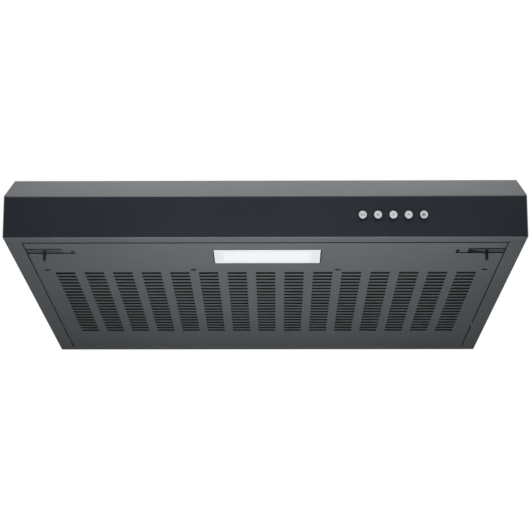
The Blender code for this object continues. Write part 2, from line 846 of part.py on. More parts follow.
def make_lamp():
    """Lens in the grille's window, the tray above it and the board in the tray."""
    y = FRONT + LENS_BEHIND
    lens = plate(
        "lamp_lens",
        [rounded_rectangle(LENS_X, y, LENS_WIDTH, LENS_DEPTH, LENS_CORNER)],
        BOTTOM - LENS_PROUD,
        PANEL_TOP + GAP + LENS_LIP_THICK / 2,
        lamp_plastic(),
    )
    width, depth = LENS_WIDTH + 2 * LENS_LIP, LENS_DEPTH + 2 * LENS_LIP
    low = PANEL_TOP + GAP
    lip = plate(
        "lens_lip",
        [rounded_rectangle(LENS_X, y, width, depth, LENS_CORNER + LENS_LIP)],
        low,
        low + LENS_LIP_THICK,
    )
    join(lens, lip)

    half_x, half_y = LENS_WIDTH / 2 - TRAY_MARGIN, LENS_DEPTH / 2 - TRAY_MARGIN
    mouth = BOTTOM + FRONT_LIP + GAP
    ceiling = mouth + TRAY_HEIGHT
    left, right = LENS_X - half_x, LENS_X + half_x
    tray = box(
        "lamp_tray", (left, y - half_y, mouth), (right, y + half_y, ceiling), galvanised_steel(),
    )
    shape = bmesh.new()
    shape.from_mesh(tray.data)
    floor = min(shape.faces, key=lambda face: face.calc_center_median().z)
    bmesh.ops.delete(shape, geom=[floor], context="FACES_ONLY")
    shape.to_mesh(tray.data)
    shape.free()
    solidify(tray, SHEET)
    tongue = box(
        "tray_tongue",
        (left + half_x / 2, FRONT + FRONT_FLANGE - 4 * SHEET, mouth),
        (right - half_x / 2, y - half_y + SHEET / 2, mouth + SHEET),
    )
    join(tray, tongue)
    cut(tray, cylinder("lamp_wire_hole", WIRE_HOLE, *lamp_wire_way()))
    board_top = ceiling - SHEET - GAP
    board = box(
        "led_board",
        (left + BOARD_MARGIN, y - BOARD_WIDTH / 2, board_top - BOARD_THICK),
        (right - BOARD_MARGIN, y + BOARD_WIDTH / 2, board_top),
        board_green(),
    )
    return lens, tray, board


def lamp_wire_way():
    """Ends of the hole in the tray's ceiling that the lamp's wire goes through."""
    ceiling = BOTTOM + FRONT_LIP + GAP + TRAY_HEIGHT
    x = -LENS_WIDTH / 4
    y = FRONT + LENS_BEHIND + LENS_DEPTH / 2 - TRAY_MARGIN - 4 * SHEET
    return (x, y, ceiling - 2 * SHEET), (x, y, ceiling + SHEET)


def make_filter():
    """Fleece mat on the grille and the wires that hold it down."""
    low = PANEL_TOP + GAP
    front, back = FRONT + FILTER_FRONT, PANEL_BACK - FILTER_REAR
    half = PANEL_X - FILTER_MARGIN
    mat = box("grease_filter", (-half, front, low), (half, back, low + FILTER_THICK), filter_fleece())
    height = low + FILTER_THICK + GAP + FILTER_WIRE
    wires = []
    for side, word in ((-1, "left"), (1, "right")):
        inner, outer = (side * x for x in NOTCH_X)
        y = FRONT + NOTCH_BEHIND
        rear = back - 2 * WIRE_BEND
        hook = BOTTOM - WIRE_HOOK
        corners = [
            (inner, y, hook), (inner, y, height), (inner, rear, height),
            (outer, rear, height), (outer, y, height), (outer, y, hook),
        ]
        wires.append(
            tube("filter_wire_" + word, bent_path(corners, WIRE_BEND / 2), FILTER_WIRE, bright_steel())
        )
    return [mat, *wires]


def collar_screw_places():
    """Centres of the four screws on the collar's flange."""
    reach = DUCT_RADIUS + COLLAR_FLANGE / 2
    return circle(0, COLLAR_Y, reach, 8)[1::2]


def make_collar():
    """Round duct collar with its flange and the ledge that the damper rests on."""
    inner = DUCT_RADIUS - COLLAR_WALL
    base = TOP + GAP
    ledge_top = DAMPER_RISE - DAMPER_THICK / 2 - GAP
    profile = [
        (inner, COLLAR_HEIGHT),
        (DUCT_RADIUS, COLLAR_HEIGHT),
        (DUCT_RADIUS, base + FLANGE_THICK),
        (DUCT_RADIUS + COLLAR_FLANGE, base + FLANGE_THICK),
        (DUCT_RADIUS + COLLAR_FLANGE, base),
        (inner, base),
        (inner, ledge_top - LEDGE_THICK),
        (inner - LEDGE_WIDTH, ledge_top - LEDGE_THICK),
        (inner - LEDGE_WIDTH, ledge_top),
        (inner, ledge_top),
    ]
    collar = turned("duct_collar", profile, galvanised_steel(), segments=32)
    collar.location = (0, COLLAR_Y, 0)
    reach = DUCT_RADIUS + SHEET
    hole = DAMPER_PIN + PIN_CLEARANCE
    ends = [(side * reach, COLLAR_Y, DAMPER_RISE) for side in (-1, 1)]
    cut(collar, cylinder("damper_pin_hole", hole, *ends, segments=10))
    for x, y in collar_screw_places():
        top = base + 2 * FLANGE_THICK
        cut(collar, cylinder("screw_hole", SCREW_HOLE, (x, y, TOP - SHEET), (x, y, top), segments=10))
    return collar


def make_damper_flap(side, name):
    """Half of the butterfly damper. Side is -1 for the front flap and 1 for the rear one."""
    edge_angle = math.asin(FLAP_EDGE / FLAP_RADIUS)
    outline = arc(0, 0, FLAP_RADIUS, edge_angle, math.pi - edge_angle, 18)
    flap = add(name, flat_outline(name, [outline], DAMPER_THICK), galvanised_steel())
    flap.location = (0, COLLAR_Y, DAMPER_RISE)
    flap.rotation_euler = (0, 0, 0 if side > 0 else math.pi)
    bore = DAMPER_PIN + KNUCKLE_CLEARANCE
    for start in KNUCKLE_STARTS:
        first = side * start
        last = first + side * KNUCKLE_LENGTH
        web_x = sorted((first, last))
        web_y = sorted((COLLAR_Y + side * (bore + KNUCKLE_WALL / 2), COLLAR_Y + side * 1.4 * FLAP_EDGE))
        web = box(
            "knuckle_web",
            (web_x[0], web_y[0], DAMPER_RISE - DAMPER_THICK / 2),
            (web_x[1], web_y[1], DAMPER_RISE + DAMPER_THICK / 2),
        )
        knuckle = cylinder(
            "knuckle", KNUCKLE_RADIUS,
            (first, COLLAR_Y, DAMPER_RISE), (last, COLLAR_Y, DAMPER_RISE), segments=14,
        )
        join(flap, web, knuckle)
    reach = DUCT_RADIUS
    cut(
        flap,
        cylinder(
            "knuckle_bore", bore, (-reach, COLLAR_Y, DAMPER_RISE), (reach, COLLAR_Y, DAMPER_RISE),
            segments=14,
        ),
    )
    return flap


def casing_outline():
    """Scroll round the impeller, opening into the chamber under the duct collar."""
    back = COLLAR_Y + DUCT_RADIUS + CHAMBER_MARGIN
    outline = []
    for step in range(SCROLL_STEPS + 1):
        angle = TONGUE_ANGLE + (2 * math.pi - TONGUE_ANGLE) * step / SCROLL_STEPS
        radius = scroll_radius(angle)
        outline.append((radius * math.cos(angle), FAN_Y + radius * math.sin(angle)))
    tongue_back = outline[0][1] + CHAMBER_MARGIN
    return outline + [(SCROLL_END, back), (-CHAMBER_LEFT, back), (-CHAMBER_LEFT, tongue_back)]


def scroll_radius(angle):
    """The scroll's radius at an angle after the tongue."""
    return SCROLL_START + SCROLL_GROWTH * (angle - TONGUE_ANGLE) / (2 * math.pi - TONGUE_ANGLE)


def casing_tabs():
    """Place on the wall and outward angle of each fixing tab."""
    tabs = []
    for angle in (1.2 * math.pi, 3 * math.pi / 2):
        reach = scroll_radius(angle)
        tabs.append((reach * math.cos(angle), FAN_Y + reach * math.sin(angle), angle))
    tabs.append((SCROLL_END, (FAN_Y + COLLAR_Y) / 2, 0.0))
    tabs.append((-CHAMBER_LEFT, COLLAR_Y, math.pi))
    return tabs


def casing_screw_places():
    return [
        (x + TAB_HOLE * math.cos(angle), y + TAB_HOLE * math.sin(angle)) for x, y, angle in casing_tabs()
    ]


def make_casing():
    """Blower casing: an open-topped tray with the inlet in its floor and tabs at its rim."""
    shape = bmesh.new()
    corners = [shape.verts.new((x, y, CASING_BOTTOM)) for x, y in casing_outline()]
    floor = shape.faces.new(corners)
    floor.normal_update()
    if floor.normal.z > 0:
        floor.normal_flip()
    walls = bmesh.ops.extrude_edge_only(shape, edges=list(floor.edges))["geom"]
    raised = [item for item in walls if isinstance(item, bmesh.types.BMVert)]
    bmesh.ops.translate(shape, vec=(0, 0, CASING_TOP - CASING_BOTTOM), verts=raised)
    mesh = bpy.data.meshes.new("blower_casing")
    shape.to_mesh(mesh)
    shape.free()
    casing = add("blower_casing", mesh, galvanised_steel())
    solidify(casing, CASING_WALL)
    for x, y, angle in casing_tabs():
        tab = box(
            "casing_tab",
            (-CASING_WALL / 2, -CASING_TAB / 2, CASING_TOP - TAB_THICK),
            (CASING_TAB, CASING_TAB / 2, CASING_TOP),
        )
        middle = Vector(((CASING_TAB - CASING_WALL / 2) / 2, 0, CASING_TOP - TAB_THICK / 2))
        turn = Matrix.Rotation(angle, 4, "Z")
        tab.matrix_world = Matrix.Translation((x, y, 0)) @ turn @ Matrix.Translation(middle)
        join(casing, tab)
    for x, y in casing_screw_places():
        ends = (x, y, CASING_TOP - 3 * TAB_THICK), (x, y, CASING_TOP + SHEET)
        cut(casing, cylinder("screw_hole", SCREW_HOLE, *ends, segments=10))
    ends = (0, FAN_Y, CASING_BOTTOM - SHEET), (0, FAN_Y, CASING_BOTTOM + 3 * SHEET)
    cut(casing, cylinder("inlet_hole", INLET_RADIUS, *ends, segments=ROUND))
    wall = -scroll_radius(math.pi)
    height = motor_wire_height()
    ends = (wall - 4 * SHEET, FAN_Y, height), (wall + 4 * SHEET, FAN_Y, height)
    cut(casing, cylinder("motor_wire_hole", WIRE_HOLE, *ends, segments=10))
    return casing


def motor_wire_height():
    """Height of the motor's wire, in the space between its plate and its body."""
    return CASING_TOP - MOTOR_PLATE_THICK - GAP - BUSH_HEIGHT / 2


def make_guard():
    """Inlet ring and finger guard, moulded as one."""
    top = CASING_BOTTOM - GAP
    bottom = top - GUARD_THICK
    outer = INLET_RADIUS - 2 * SHEET
    profile = [
        (outer - GUARD_WALL, top + GUARD_THROAT),
        (outer, top + GUARD_THROAT),
        (outer, top),
        (INLET_RADIUS + GUARD_FLANGE, top),
        (INLET_RADIUS + GUARD_FLANGE, bottom),
        (outer - GUARD_WALL, bottom),
    ]
    ring = turned("inlet_guard", profile, black_plastic())
    ring.location = (0, FAN_Y, 0)
    reach = outer - GUARD_WALL / 2
    outlines = [circle(0, 0, reach, ROUND)]
    step = (reach - GUARD_WALL - GUARD_HUB) / GUARD_RINGS
    for index in range(GUARD_RINGS):
        near, far = GUARD_HUB + index * step, GUARD_HUB + (index + 1) * step - GUARD_BAR
        for spoke in range(GUARD_SPOKES):
            start = 2 * math.pi * spoke / GUARD_SPOKES
            end = start + 2 * math.pi / GUARD_SPOKES
            trim_far, trim_near = GUARD_BAR / 2 / far, GUARD_BAR / 2 / near
            sector = arc(0, 0, far, start + trim_far, end - trim_far, 5)
            sector += arc(0, 0, near, end - trim_near, start + trim_near, 3)
            outlines.append(sector)
    inset = GUARD_THICK / 8
    grid = plate("guard_grid", outlines, bottom + inset, top - inset)
    grid.location.y = FAN_Y
    return join(ring, grid)


def make_motor():
    """Motor, the plate that it hangs from and the rubber bushes between them."""
    plate_top = CASING_TOP
    plate_bottom = plate_top - MOTOR_PLATE_THICK
    cylinder(
        "motor_plate", MOTOR_PLATE, (0, FAN_Y, plate_bottom), (0, FAN_Y, plate_top),
        galvanised_steel(), segments=ROUND,
    )
    bore = SHAFT_RADIUS + SHAFT_CLEARANCE
    crown = MOTOR_RADIUS - MOTOR_EDGE
    bore_end = MOTOR_BOTTOM + SHAFT_IN_MOTOR + 2 * SHEET
    profile = [
        (0, MOTOR_TOP), (crown, MOTOR_TOP), (MOTOR_RADIUS, MOTOR_TOP - MOTOR_EDGE),
        (MOTOR_RADIUS, MOTOR_BOTTOM + MOTOR_EDGE), (crown, MOTOR_BOTTOM), (bore, MOTOR_BOTTOM),
        (bore, bore_end), (0, bore_end),
    ]
    motor = turned("motor", profile, grey_plastic(), segments=28)
    motor.location = (0, FAN_Y, 0)
    for index, (x, y) in enumerate(circle(0, FAN_Y, BUSH_CIRCLE, 3)):
        cylinder(
            f"motor_bush_{index + 1}", BUSH_RADIUS,
            (x, y, MOTOR_TOP + GAP), (x, y, plate_bottom - GAP), rubber(), segments=12,
        )


def make_impeller():
    """Impeller with its hub dished round the motor, the shaft that drives it and its nut."""
    inner = MOTOR_RADIUS + HUB_CLEARANCE
    disc_top = CASING_TOP - DISC_DROP
    crown = HUB_TOP
    bore = SHAFT_RADIUS + GAP
    wall, edge = HUB_WALL, HUB_EDGE
    profile = [
        (bore, crown), (inner - edge, crown), (inner, crown + edge),
        (inner + edge / 2, disc_top - edge / 2), (inner + edge, disc_top),
        (IMPELLER_RADIUS, disc_top), (IMPELLER_RADIUS, disc_top - wall),
        (inner + edge + wall / 2, disc_top - wall),
        (inner + edge / 2 + wall, disc_top - edge / 2 - wall),
        (inner + wall, crown + edge - wall / 2), (inner - edge + wall / 2, crown - wall),
        (BOSS_RADIUS, crown - wall), (BOSS_RADIUS, HUB_BOTTOM), (bore, HUB_BOTTOM),
    ]
    impeller = turned("impeller", profile, black_plastic())
    impeller.location = (0, FAN_Y, 0)

    ring_bottom = CASING_BOTTOM + GUARD_THROAT + RING_CLEARANCE
    ring_inner = IMPELLER_RADIUS - BLADE_CHORD
    blades = bmesh.new()
    low, high = ring_bottom + RING_HEIGHT / 2, disc_top - wall / 2
    for index in range(BLADE_COUNT):
        around = Matrix.Rotation(2 * math.pi * index / BLADE_COUNT, 4, "Z")
        out = Matrix.Translation((IMPELLER_RADIUS - BLADE_CHORD / 2, 0, (low + high) / 2))
        pitch = Matrix.Rotation(BLADE_PITCH, 4, "Z")
        size = Matrix.Diagonal((0.9 * BLADE_CHORD, BLADE_THICK, high - low, 1))
        bmesh.ops.create_cube(blades, size=1, matrix=around @ out @ pitch @ size)
    mesh = bpy.data.meshes.new("blades")
    blades.to_mesh(mesh)
    blades.free()
    blade_ring = add("blades", mesh, None)
    blade_ring.location = (0, FAN_Y, 0)
    end_ring = turned(
        "end_ring",
        [
            (ring_inner, ring_bottom + RING_HEIGHT), (IMPELLER_RADIUS, ring_bottom + RING_HEIGHT),
            (IMPELLER_RADIUS, ring_bottom), (ring_inner, ring_bottom),
        ],
    )
    end_ring.location = (0, FAN_Y, 0)
    join(impeller, blade_ring, end_ring)

    shaft = cylinder(
        "motor_shaft", SHAFT_RADIUS,
        (0, FAN_Y, NUT_BOTTOM), (0, FAN_Y, MOTOR_BOTTOM + SHAFT_IN_MOTOR), bright_steel(),
    )
    nut = cylinder(
        "impeller_nut", 2 * SHAFT_RADIUS,
        (0, FAN_Y, NUT_BOTTOM), (0, FAN_Y, NUT_TOP), bright_steel(), 6,
    )
    ends = (0, FAN_Y, NUT_BOTTOM - SHEET), (0, FAN_Y, NUT_TOP + SHEET)
    cut(nut, cylinder("nut_bore", SHAFT_RADIUS + GAP, *ends))
    hang(axis_at("impeller_axis", (0, FAN_Y, 0)), impeller, shaft, nut)


def screw(name, place, up, grip, material):
    """Pan head screw. Up is 1 where its head is above, and grip is its shank's length."""
    x, y, z = place
    profile = [
        (0, SCREW_HEAD_THICK), (SCREW_HEAD, 0.4 * SCREW_HEAD_THICK), (SCREW_HEAD, 0),
        (SCREW_SHANK, 0), (SCREW_SHANK, -grip), (0, -grip),
    ]
    obj = turned(name, profile, material, segments=8)
    obj.location = (x, y, z)
    obj.rotation_euler = (0, 0, 0) if up > 0 else (math.pi, 0, 0)
    return obj


def make_screws():
    """The four screws of the casing and the four of the collar."""
    for index, (x, y) in enumerate(casing_screw_places()):
        grip = TAB_THICK + GAP + SHEET / 2
        place = (x, y, CASING_TOP - TAB_THICK - GAP)
        screw(f"casing_screw_{index + 1}", place, -1, grip, bright_steel())
    for index, (x, y) in enumerate(collar_screw_places()):
        place = (x, y, TOP + GAP + FLANGE_THICK + GAP)
        screw(f"collar_screw_{index + 1}", place, 1, 3 * FLANGE_THICK, bright_steel())


def make_buttons():
    """Push buttons, each on its own axis into the fascia."""
    rounded = BUTTON_RADIUS - BUTTON_EDGE
    stop_radius = BUTTON_RADIUS + BUTTON_COLLAR
    stop_face = -SHEET - GAP
    stop_back = stop_face - COLLAR_THICK
    stem_end = -SHEET - SWITCH_BACK - STEM_REACH
    profile = [
        (0, BUTTON_PROUD), (rounded, BUTTON_PROUD), (BUTTON_RADIUS, BUTTON_PROUD - BUTTON_EDGE),
        (BUTTON_RADIUS, stop_face), (stop_radius, stop_face), (stop_radius, stop_back),
        (STEM_RADIUS, stop_back), (STEM_RADIUS, stem_end), (0, stem_end),
    ]
    for index, word in enumerate(BUTTON_NAMES):
        button = turned("button_" + word, profile, chrome(), segments=16)
        button.rotation_euler = (math.pi / 2 + FASCIA_LEAN, 0, 0)
        button.location = button_place(index)


def switch_frame():
    """Frame of the switch block: X along the hood, Y up the fascia and Z into the hood."""
    middle = button_place((len(BUTTON_NAMES) - 1) / 2)
    inward = fascia_inward()
    up = Vector((0, FASCIA_UP.x, FASCIA_UP.y))
    across = up.cross(inward)
    turn = Matrix((across, up, inward)).transposed().to_4x4()
    return Matrix.Translation(middle) @ turn


def make_switch():
    """Switch block with a well for each button's stem, and the bracket round it."""
    length = (len(BUTTON_NAMES) - 1) * BUTTON_PITCH + 2 * SWITCH_END
    face = SHEET + SWITCH_BACK
    frame = switch_frame()
    block = box(
        "switch_block", (-length / 2, -SWITCH_TALL / 2, 0), (length / 2, SWITCH_TALL / 2, SWITCH_THICK),
        black_plastic(),
    )
    block.matrix_world = frame @ Matrix.Translation((0, 0, face + SWITCH_THICK / 2))
    for index in range(len(BUTTON_NAMES)):
        place = button_place(index)
        start, end = fascia_inward() * (face - SHEET), fascia_inward() * (face + WELL_DEPTH)
        ends = place + start, place + end
        cut(block, cylinder("stem_well", STEM_RADIUS + WELL_CLEARANCE, *ends, segments=12))
    side = length / 2 + GAP + SHEET
    rear = face + SWITCH_THICK + GAP + SHEET
    foot = 2 * SHEET + GAP
    profile = [
        (-side - BRACKET_FOOT, foot), (-side, foot), (-side, rear),
        (side, rear), (side, foot), (side + BRACKET_FOOT, foot),
    ]
    bracket = folded_sheet(
        "switch_bracket", profile, -BRACKET_TALL / 2, BRACKET_TALL / 2, galvanised_steel()
    )
    bracket.matrix_world = frame @ Matrix.Rotation(-math.pi / 2, 4, "Z")
    return block, bracket


def make_electrics():
    """Terminal box with its lid, the motor's capacitor and the cable entry's grommet."""
    x, y = BOX_CENTRE
    wide, deep, tall = BOX_SIZE
    top = CASING_TOP
    mouth = top - tall
    case = box(
        "terminal_box", (x - wide / 2, y - deep / 2, mouth), (x + wide / 2, y + deep / 2, top),
        grey_plastic(),
    )
    inset = BOX_WALL
    hollow = box(
        "terminal_hollow",
        (x - wide / 2 + inset, y - deep / 2 + inset, mouth - SHEET),
        (x + wide / 2 - inset, y + deep / 2 - inset, top - inset),
    )
    cut(case, hollow)
    box(
        "terminal_lid",
        (x - wide / 2, y - deep / 2, mouth - GAP - LID_THICK),
        (x + wide / 2, y + deep / 2, mouth - GAP),
        grey_plastic(),
    )
    x, y = CAPACITOR_CENTRE
    z = top - CAPACITOR_RADIUS
    half = CAPACITOR_LENGTH / 2
    cylinder("capacitor", CAPACITOR_RADIUS, (x - half, y, z), (x + half, y, z), grey_plastic(), 20)
    lip = GROMMET_HOLE + GROMMET_LIP
    neck = GROMMET_HOLE - GAP
    above, below = TOP + GAP, UNDER_TOP - GAP
    profile = [
        (GROMMET_BORE, above + GROMMET_LIP), (lip, above + GROMMET_LIP),
        (lip, above), (neck, above), (neck, below), (lip, below),
        (lip, below - GROMMET_LIP), (GROMMET_BORE, below - GROMMET_LIP),
    ]
    grommet = turned("cable_grommet", profile, rubber(), segments=16)
    grommet.location = (*GROMMET_CENTRE, 0)


def make_wires():
    """Leads from the terminal box to the motor, the lamp and the switch block."""
    x, y = BOX_CENTRE
    right = x + BOX_SIZE[0] / 2 + GAP
    front = y - BOX_SIZE[1] / 2 - GAP
    height = motor_wire_height()
    wall = -scroll_radius(math.pi)
    motor_route = [
        (right, y - 0.015, -0.022), (right + 0.014, y - 0.015, -0.022),
        (right + 0.040, FAN_Y + 0.030, height - 0.006), (wall - 0.025, FAN_Y + 0.004, height),
        (wall, FAN_Y, height), (wall + 0.030, FAN_Y, height), (0.010 - MOTOR_RADIUS, FAN_Y, height),
    ]
    tube("motor_lead", smooth_route(motor_route), WIRE_RADIUS, cable_sheath())
    hole, _ = lamp_wire_way()
    above = hole[2] + 0.020
    lamp_route = [
        (x + 0.010, front, -0.030), (x + 0.010, front - 0.016, -0.030), (-0.235, -0.080, -0.050),
        (-0.150, -0.168, -0.045), (-0.080, hole[1] + 0.012, above - 0.006),
        (hole[0] - 0.012, hole[1], above),
        (hole[0], hole[1], hole[2] + 0.008), (hole[0], hole[1], hole[2] - 0.002),
    ]
    tube("lamp_lead", smooth_route(lamp_route), WIRE_RADIUS, cable_sheath())
    frame = switch_frame()
    behind = SHEET + SWITCH_BACK + SWITCH_THICK
    socket = frame @ Vector((-0.020, SWITCH_TALL / 2 + GAP, behind - 0.010))
    rise = frame @ Vector((-0.020, SWITCH_TALL / 2 + 0.012, behind - 0.010))
    corridor = (BAND_HEAD.x + FAN_Y - scroll_radius(3 * math.pi / 2)) / 2
    switch_route = [
        (x - 0.012, front, -0.020), (x - 0.012, front - 0.030, -0.020), (-0.255, -0.090, -0.012),
        (-0.190, corridor, -0.010), (-0.080, corridor - 0.006, -0.009), (0.040, corridor - 0.004, -0.010),
        (0.120, corridor - 0.008, -0.022), tuple(rise), tuple(socket),
    ]
    tube("switch_lead", smooth_route(switch_route), WIRE_RADIUS, cable_sheath())


def main():
    clear_scene()
    make_side_panel(-1, "side_panel_left")
    make_side_panel(1, "side_panel_right")
    make_top_panel()
    make_back_panel()
    make_front_panel()

    grille = make_grille_panel()
    lens, _, _ = make_lamp()
    filter_pieces = make_filter()
    hinge = axis_at("grille_hinge_axis", (0, HINGE_Y, HINGE_Z))
    hang(hinge, grille, lens, *filter_pieces)
    for side, word in ((-1, "left"), (1, "right")):
        make_hinge(side, word)
        bolt, guide = make_latch(side, word)
        slide = axis_at(f"latch_{word}_axis", (side * PANEL_X, FRONT + POCKET_FRONT, PANEL_TOP))
        hang(slide, bolt)
        hang(hinge, slide, guide)

    make_collar()
    for side, word in ((-1, "front"), (1, "rear")):
        flap = make_damper_flap(side, "damper_flap_" + word)
        hang(axis_at(f"damper_{word}_axis", (0, COLLAR_Y, DAMPER_RISE)), flap)
    reach = DUCT_RADIUS - GAP
    ends = [(side * reach, COLLAR_Y, DAMPER_RISE) for side in (-1, 1)]
    cylinder("damper_pin", DAMPER_PIN, *ends, bright_steel(), 12)

    make_casing()
    make_guard()
    make_motor()
    make_impeller()
    make_screws()
    make_buttons()
    make_switch()
    make_electrics()
    make_wires()


main()
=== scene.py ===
"""Looks of a slim under cabinet range hood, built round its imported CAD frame.

Units are metres. The origin is on the flat cabinet face, +X is to the right of a person in front of
the hood, +Y is towards the wall and +Z is up. Every new surface is a function of two parameters on
a grid, or a profile carried along a path, and is worked out in whole arrays.
"""

import logging
import math
from dataclasses import dataclass, field
from enum import Enum

import bmesh
import bpy
import numpy as np
from mathutils import Matrix, Vector


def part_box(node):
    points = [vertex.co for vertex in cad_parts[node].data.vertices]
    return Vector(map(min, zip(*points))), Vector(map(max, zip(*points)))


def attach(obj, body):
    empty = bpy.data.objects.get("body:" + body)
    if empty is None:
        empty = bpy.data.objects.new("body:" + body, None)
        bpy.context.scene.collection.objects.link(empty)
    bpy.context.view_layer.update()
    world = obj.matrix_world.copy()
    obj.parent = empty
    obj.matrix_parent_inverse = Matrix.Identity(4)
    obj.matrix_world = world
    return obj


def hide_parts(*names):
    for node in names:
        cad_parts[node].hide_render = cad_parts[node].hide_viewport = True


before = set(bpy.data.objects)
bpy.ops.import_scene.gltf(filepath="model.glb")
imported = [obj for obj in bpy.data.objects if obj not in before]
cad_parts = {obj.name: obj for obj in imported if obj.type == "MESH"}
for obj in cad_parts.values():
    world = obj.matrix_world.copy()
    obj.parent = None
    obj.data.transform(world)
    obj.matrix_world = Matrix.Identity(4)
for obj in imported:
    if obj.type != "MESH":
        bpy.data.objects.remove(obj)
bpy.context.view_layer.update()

Array = np.ndarray
Pair = tuple[float, float]
Triple = tuple[float, float, float]

log = logging.getLogger("range_hood")

MERGE = 1e-6
GAP = 0.0003
SHEET = 0.001
FLAT = math.radians(0.5)
SMOOTH = math.radians(32)
SIDES = ((-1, "left"), (1, "right"))


# ---------------------------------------------------------------------------------------------
# Shapes
# ---------------------------------------------------------------------------------------------


@dataclass
class Shape:
    """Points and the faces between them.

    Attributes:
        points: n by 3 places.
        quads: m by 4 point numbers.
        caps: Flat polygons with any number of corners, such as the end of a prism.
    """

    points: Array
    quads: Array
    caps: list[list[int]] = field(default_factory=list)

    def __add__(self, other: "Shape") -> "Shape":
        """Both shapes side by side in one."""
        count = len(self.points)
        return Shape(
            np.concatenate([self.points, other.points]),
            np.concatenate([self.quads, other.quads + count]),
            self.caps + [[number + count for number in cap] for cap in other.caps],
        )

    def moved(self, x: float = 0.0, y: float = 0.0, z: float = 0.0) -> "Shape":
        """The shape shifted by x, y and z."""
        return Shape(self.points + np.array([x, y, z]), self.quads, self.caps)

    def placed(self, matrix: Matrix) -> "Shape":
        """The shape under a 4 by 4 matrix that turns and moves it."""
        rows = np.array(matrix)
        return Shape(self.points @ rows[:3, :3].T + rows[:3, 3], self.quads, self.caps)


def joined(shapes: list[Shape]) -> Shape:
    """All of the shapes in one.

    Args:
        shapes: The shapes.

    Returns:
        One shape that holds them.
    """
    total = shapes[0]
    for shape in shapes[1:]:
        total = total + shape
    return total


def grid_quads(
    rows: int, columns: int, round_rows: bool = False, round_columns: bool = False
) -> Array:
    """Quads that join a grid of points, where row r and column c is point r * columns + c.

    Args:
        rows: Number of rows of points.
        columns: Number of columns of points.
        round_rows: Whether the last row joins the first.
        round_columns: Whether the last column joins the first.

    Returns:
        Point numbers, four to a row.
    """
    row = np.arange(rows if round_rows else rows - 1)
    column = np.arange(columns if round_columns else columns - 1)
    row, column = np.meshgrid(row, column, indexing="ij")
    below, beside = (row + 1) % rows, (column + 1) % columns
    row, below = row * columns, below * columns
    corners = (row + column, row + beside, below + beside, below + column)
    return np.stack(corners, axis=-1).reshape(-1, 4)


def bent_profile(corners: list[Pair], radii: list[float]) -> Array:
    """A line through corners, each rounded by an arc that touches both of its sides.

    The arc's centre is on the corner's bisector, at the radius over the sine of half its angle.

    Args:
        corners: Corner points in a plane.
        radii: One radius for each inner corner.

    Returns:
        Points along the rounded line.
    """
    places = np.array(corners, float)
    parts = [places[:1]]
    for before, corner, after, radius in zip(places, places[1:], places[2:], radii):
        way_in = (before - corner) / np.linalg.norm(before - corner)
        way_out = (after - corner) / np.linalg.norm(after - corner)
        half = math.acos(float(np.clip(way_in @ way_out, -1, 1))) / 2
        bisector = (way_in + way_out) / np.linalg.norm(way_in + way_out)
        centre = corner + bisector * radius / math.sin(half)
        start = corner + way_in * radius / math.tan(half) - centre
        end = corner + way_out * radius / math.tan(half) - centre
        sweep = math.pi - 2 * half
        share = np.linspace(0, 1, 7)[:, None]
        blend = start * np.sin((1 - share) * sweep) + end * np.sin(share * sweep)
        parts.append(centre + blend / math.sin(sweep))
    parts.append(places[-1:])
    return np.concatenate(parts)


def offset_line(line: Array, distance: float) -> Array:
    """A plane line shifted to its right by a distance, mitred at its corners.

    Each point moves along the mean of its two sides' normals, lengthened by one over the cosine of
    half the turn, so that the sides keep the distance.

    Args:
        line: Points of the line.
        distance: How far it moves.

    Returns:
        The shifted points.
    """
    steps = np.diff(line, axis=0)
    steps = steps / np.linalg.norm(steps, axis=1, keepdims=True)
    normals = np.stack([steps[:, 1], -steps[:, 0]], axis=1)
    mean = np.concatenate([normals[:1], (normals[:-1] + normals[1:]) / 2, normals[-1:]])
    return line + mean * distance / (mean**2).sum(axis=1, keepdims=True)


def shell(outer: Array, inner: Array) -> Shape:
    """A closed wall between two grids of the same size, rows by columns by 3.

    Each row of outer points and the same row of inner points, taken backwards, make one loop. The
    loops are joined from row to row, and the first and the last loop are filled.

    Args:
        outer: Points of the outer side.
        inner: Points of the inner side.

    Returns:
        The closed wall.
    """
    rows, columns = outer.shape[:2]
    loops = np.concatenate([outer, inner[:, ::-1]], axis=1)
    count = 2 * columns
    across = np.arange(columns - 1)
    end = np.stack([across, across + 1, count - 2 - across, count - 1 - across], axis=1)
    quads = [grid_quads(rows, count, round_columns=True), end, end[:, ::-1] + (rows - 1) * count]
    return Shape(loops.reshape(-1, 3), np.concatenate(quads))


def along_x(line: Array, low: float, high: float) -> Shape:
    """Bent sheet: a line of (y, z) points carried along X from low to high, its wall inside."""

    def carried(profile: Array) -> Array:
        """The profile at both ends, as a grid.

        Args:
            profile: Points of (y, z).

        Returns:
            Two rows of points.
        """
        ends = np.array([low, high])[:, None, None]
        xs = np.broadcast_to(ends, (2, len(profile), 1))
        return np.concatenate([xs, np.broadcast_to(profile, (2, *profile.shape))], axis=2)

    return shell(carried(line), carried(offset_line(line, SHEET)))


def arc(centre: Pair, radius: float, start: float, end: float, steps: int) -> list[Pair]:
    """Points round a centre, from one angle to another in degrees, counted from the first axis."""
    angles = np.radians(np.linspace(start, end, steps + 1))
    return [(centre[0] + radius * math.cos(a), centre[1] + radius * math.sin(a)) for a in angles]


def middle_of(box: tuple[Vector, Vector]) -> Vector:
    """Middle of a box that is given by its lowest and highest corners."""
    return (box[0] + box[1]) / 2


def lying(box: tuple[Vector, Vector]) -> Matrix:
    """Lays a shape that was turned about Z along X, through the middle of a box."""
    middle = middle_of(box)
    return Matrix.Translation((0, middle.y, middle.z)) @ Matrix.Rotation(math.pi / 2, 4, "Y")


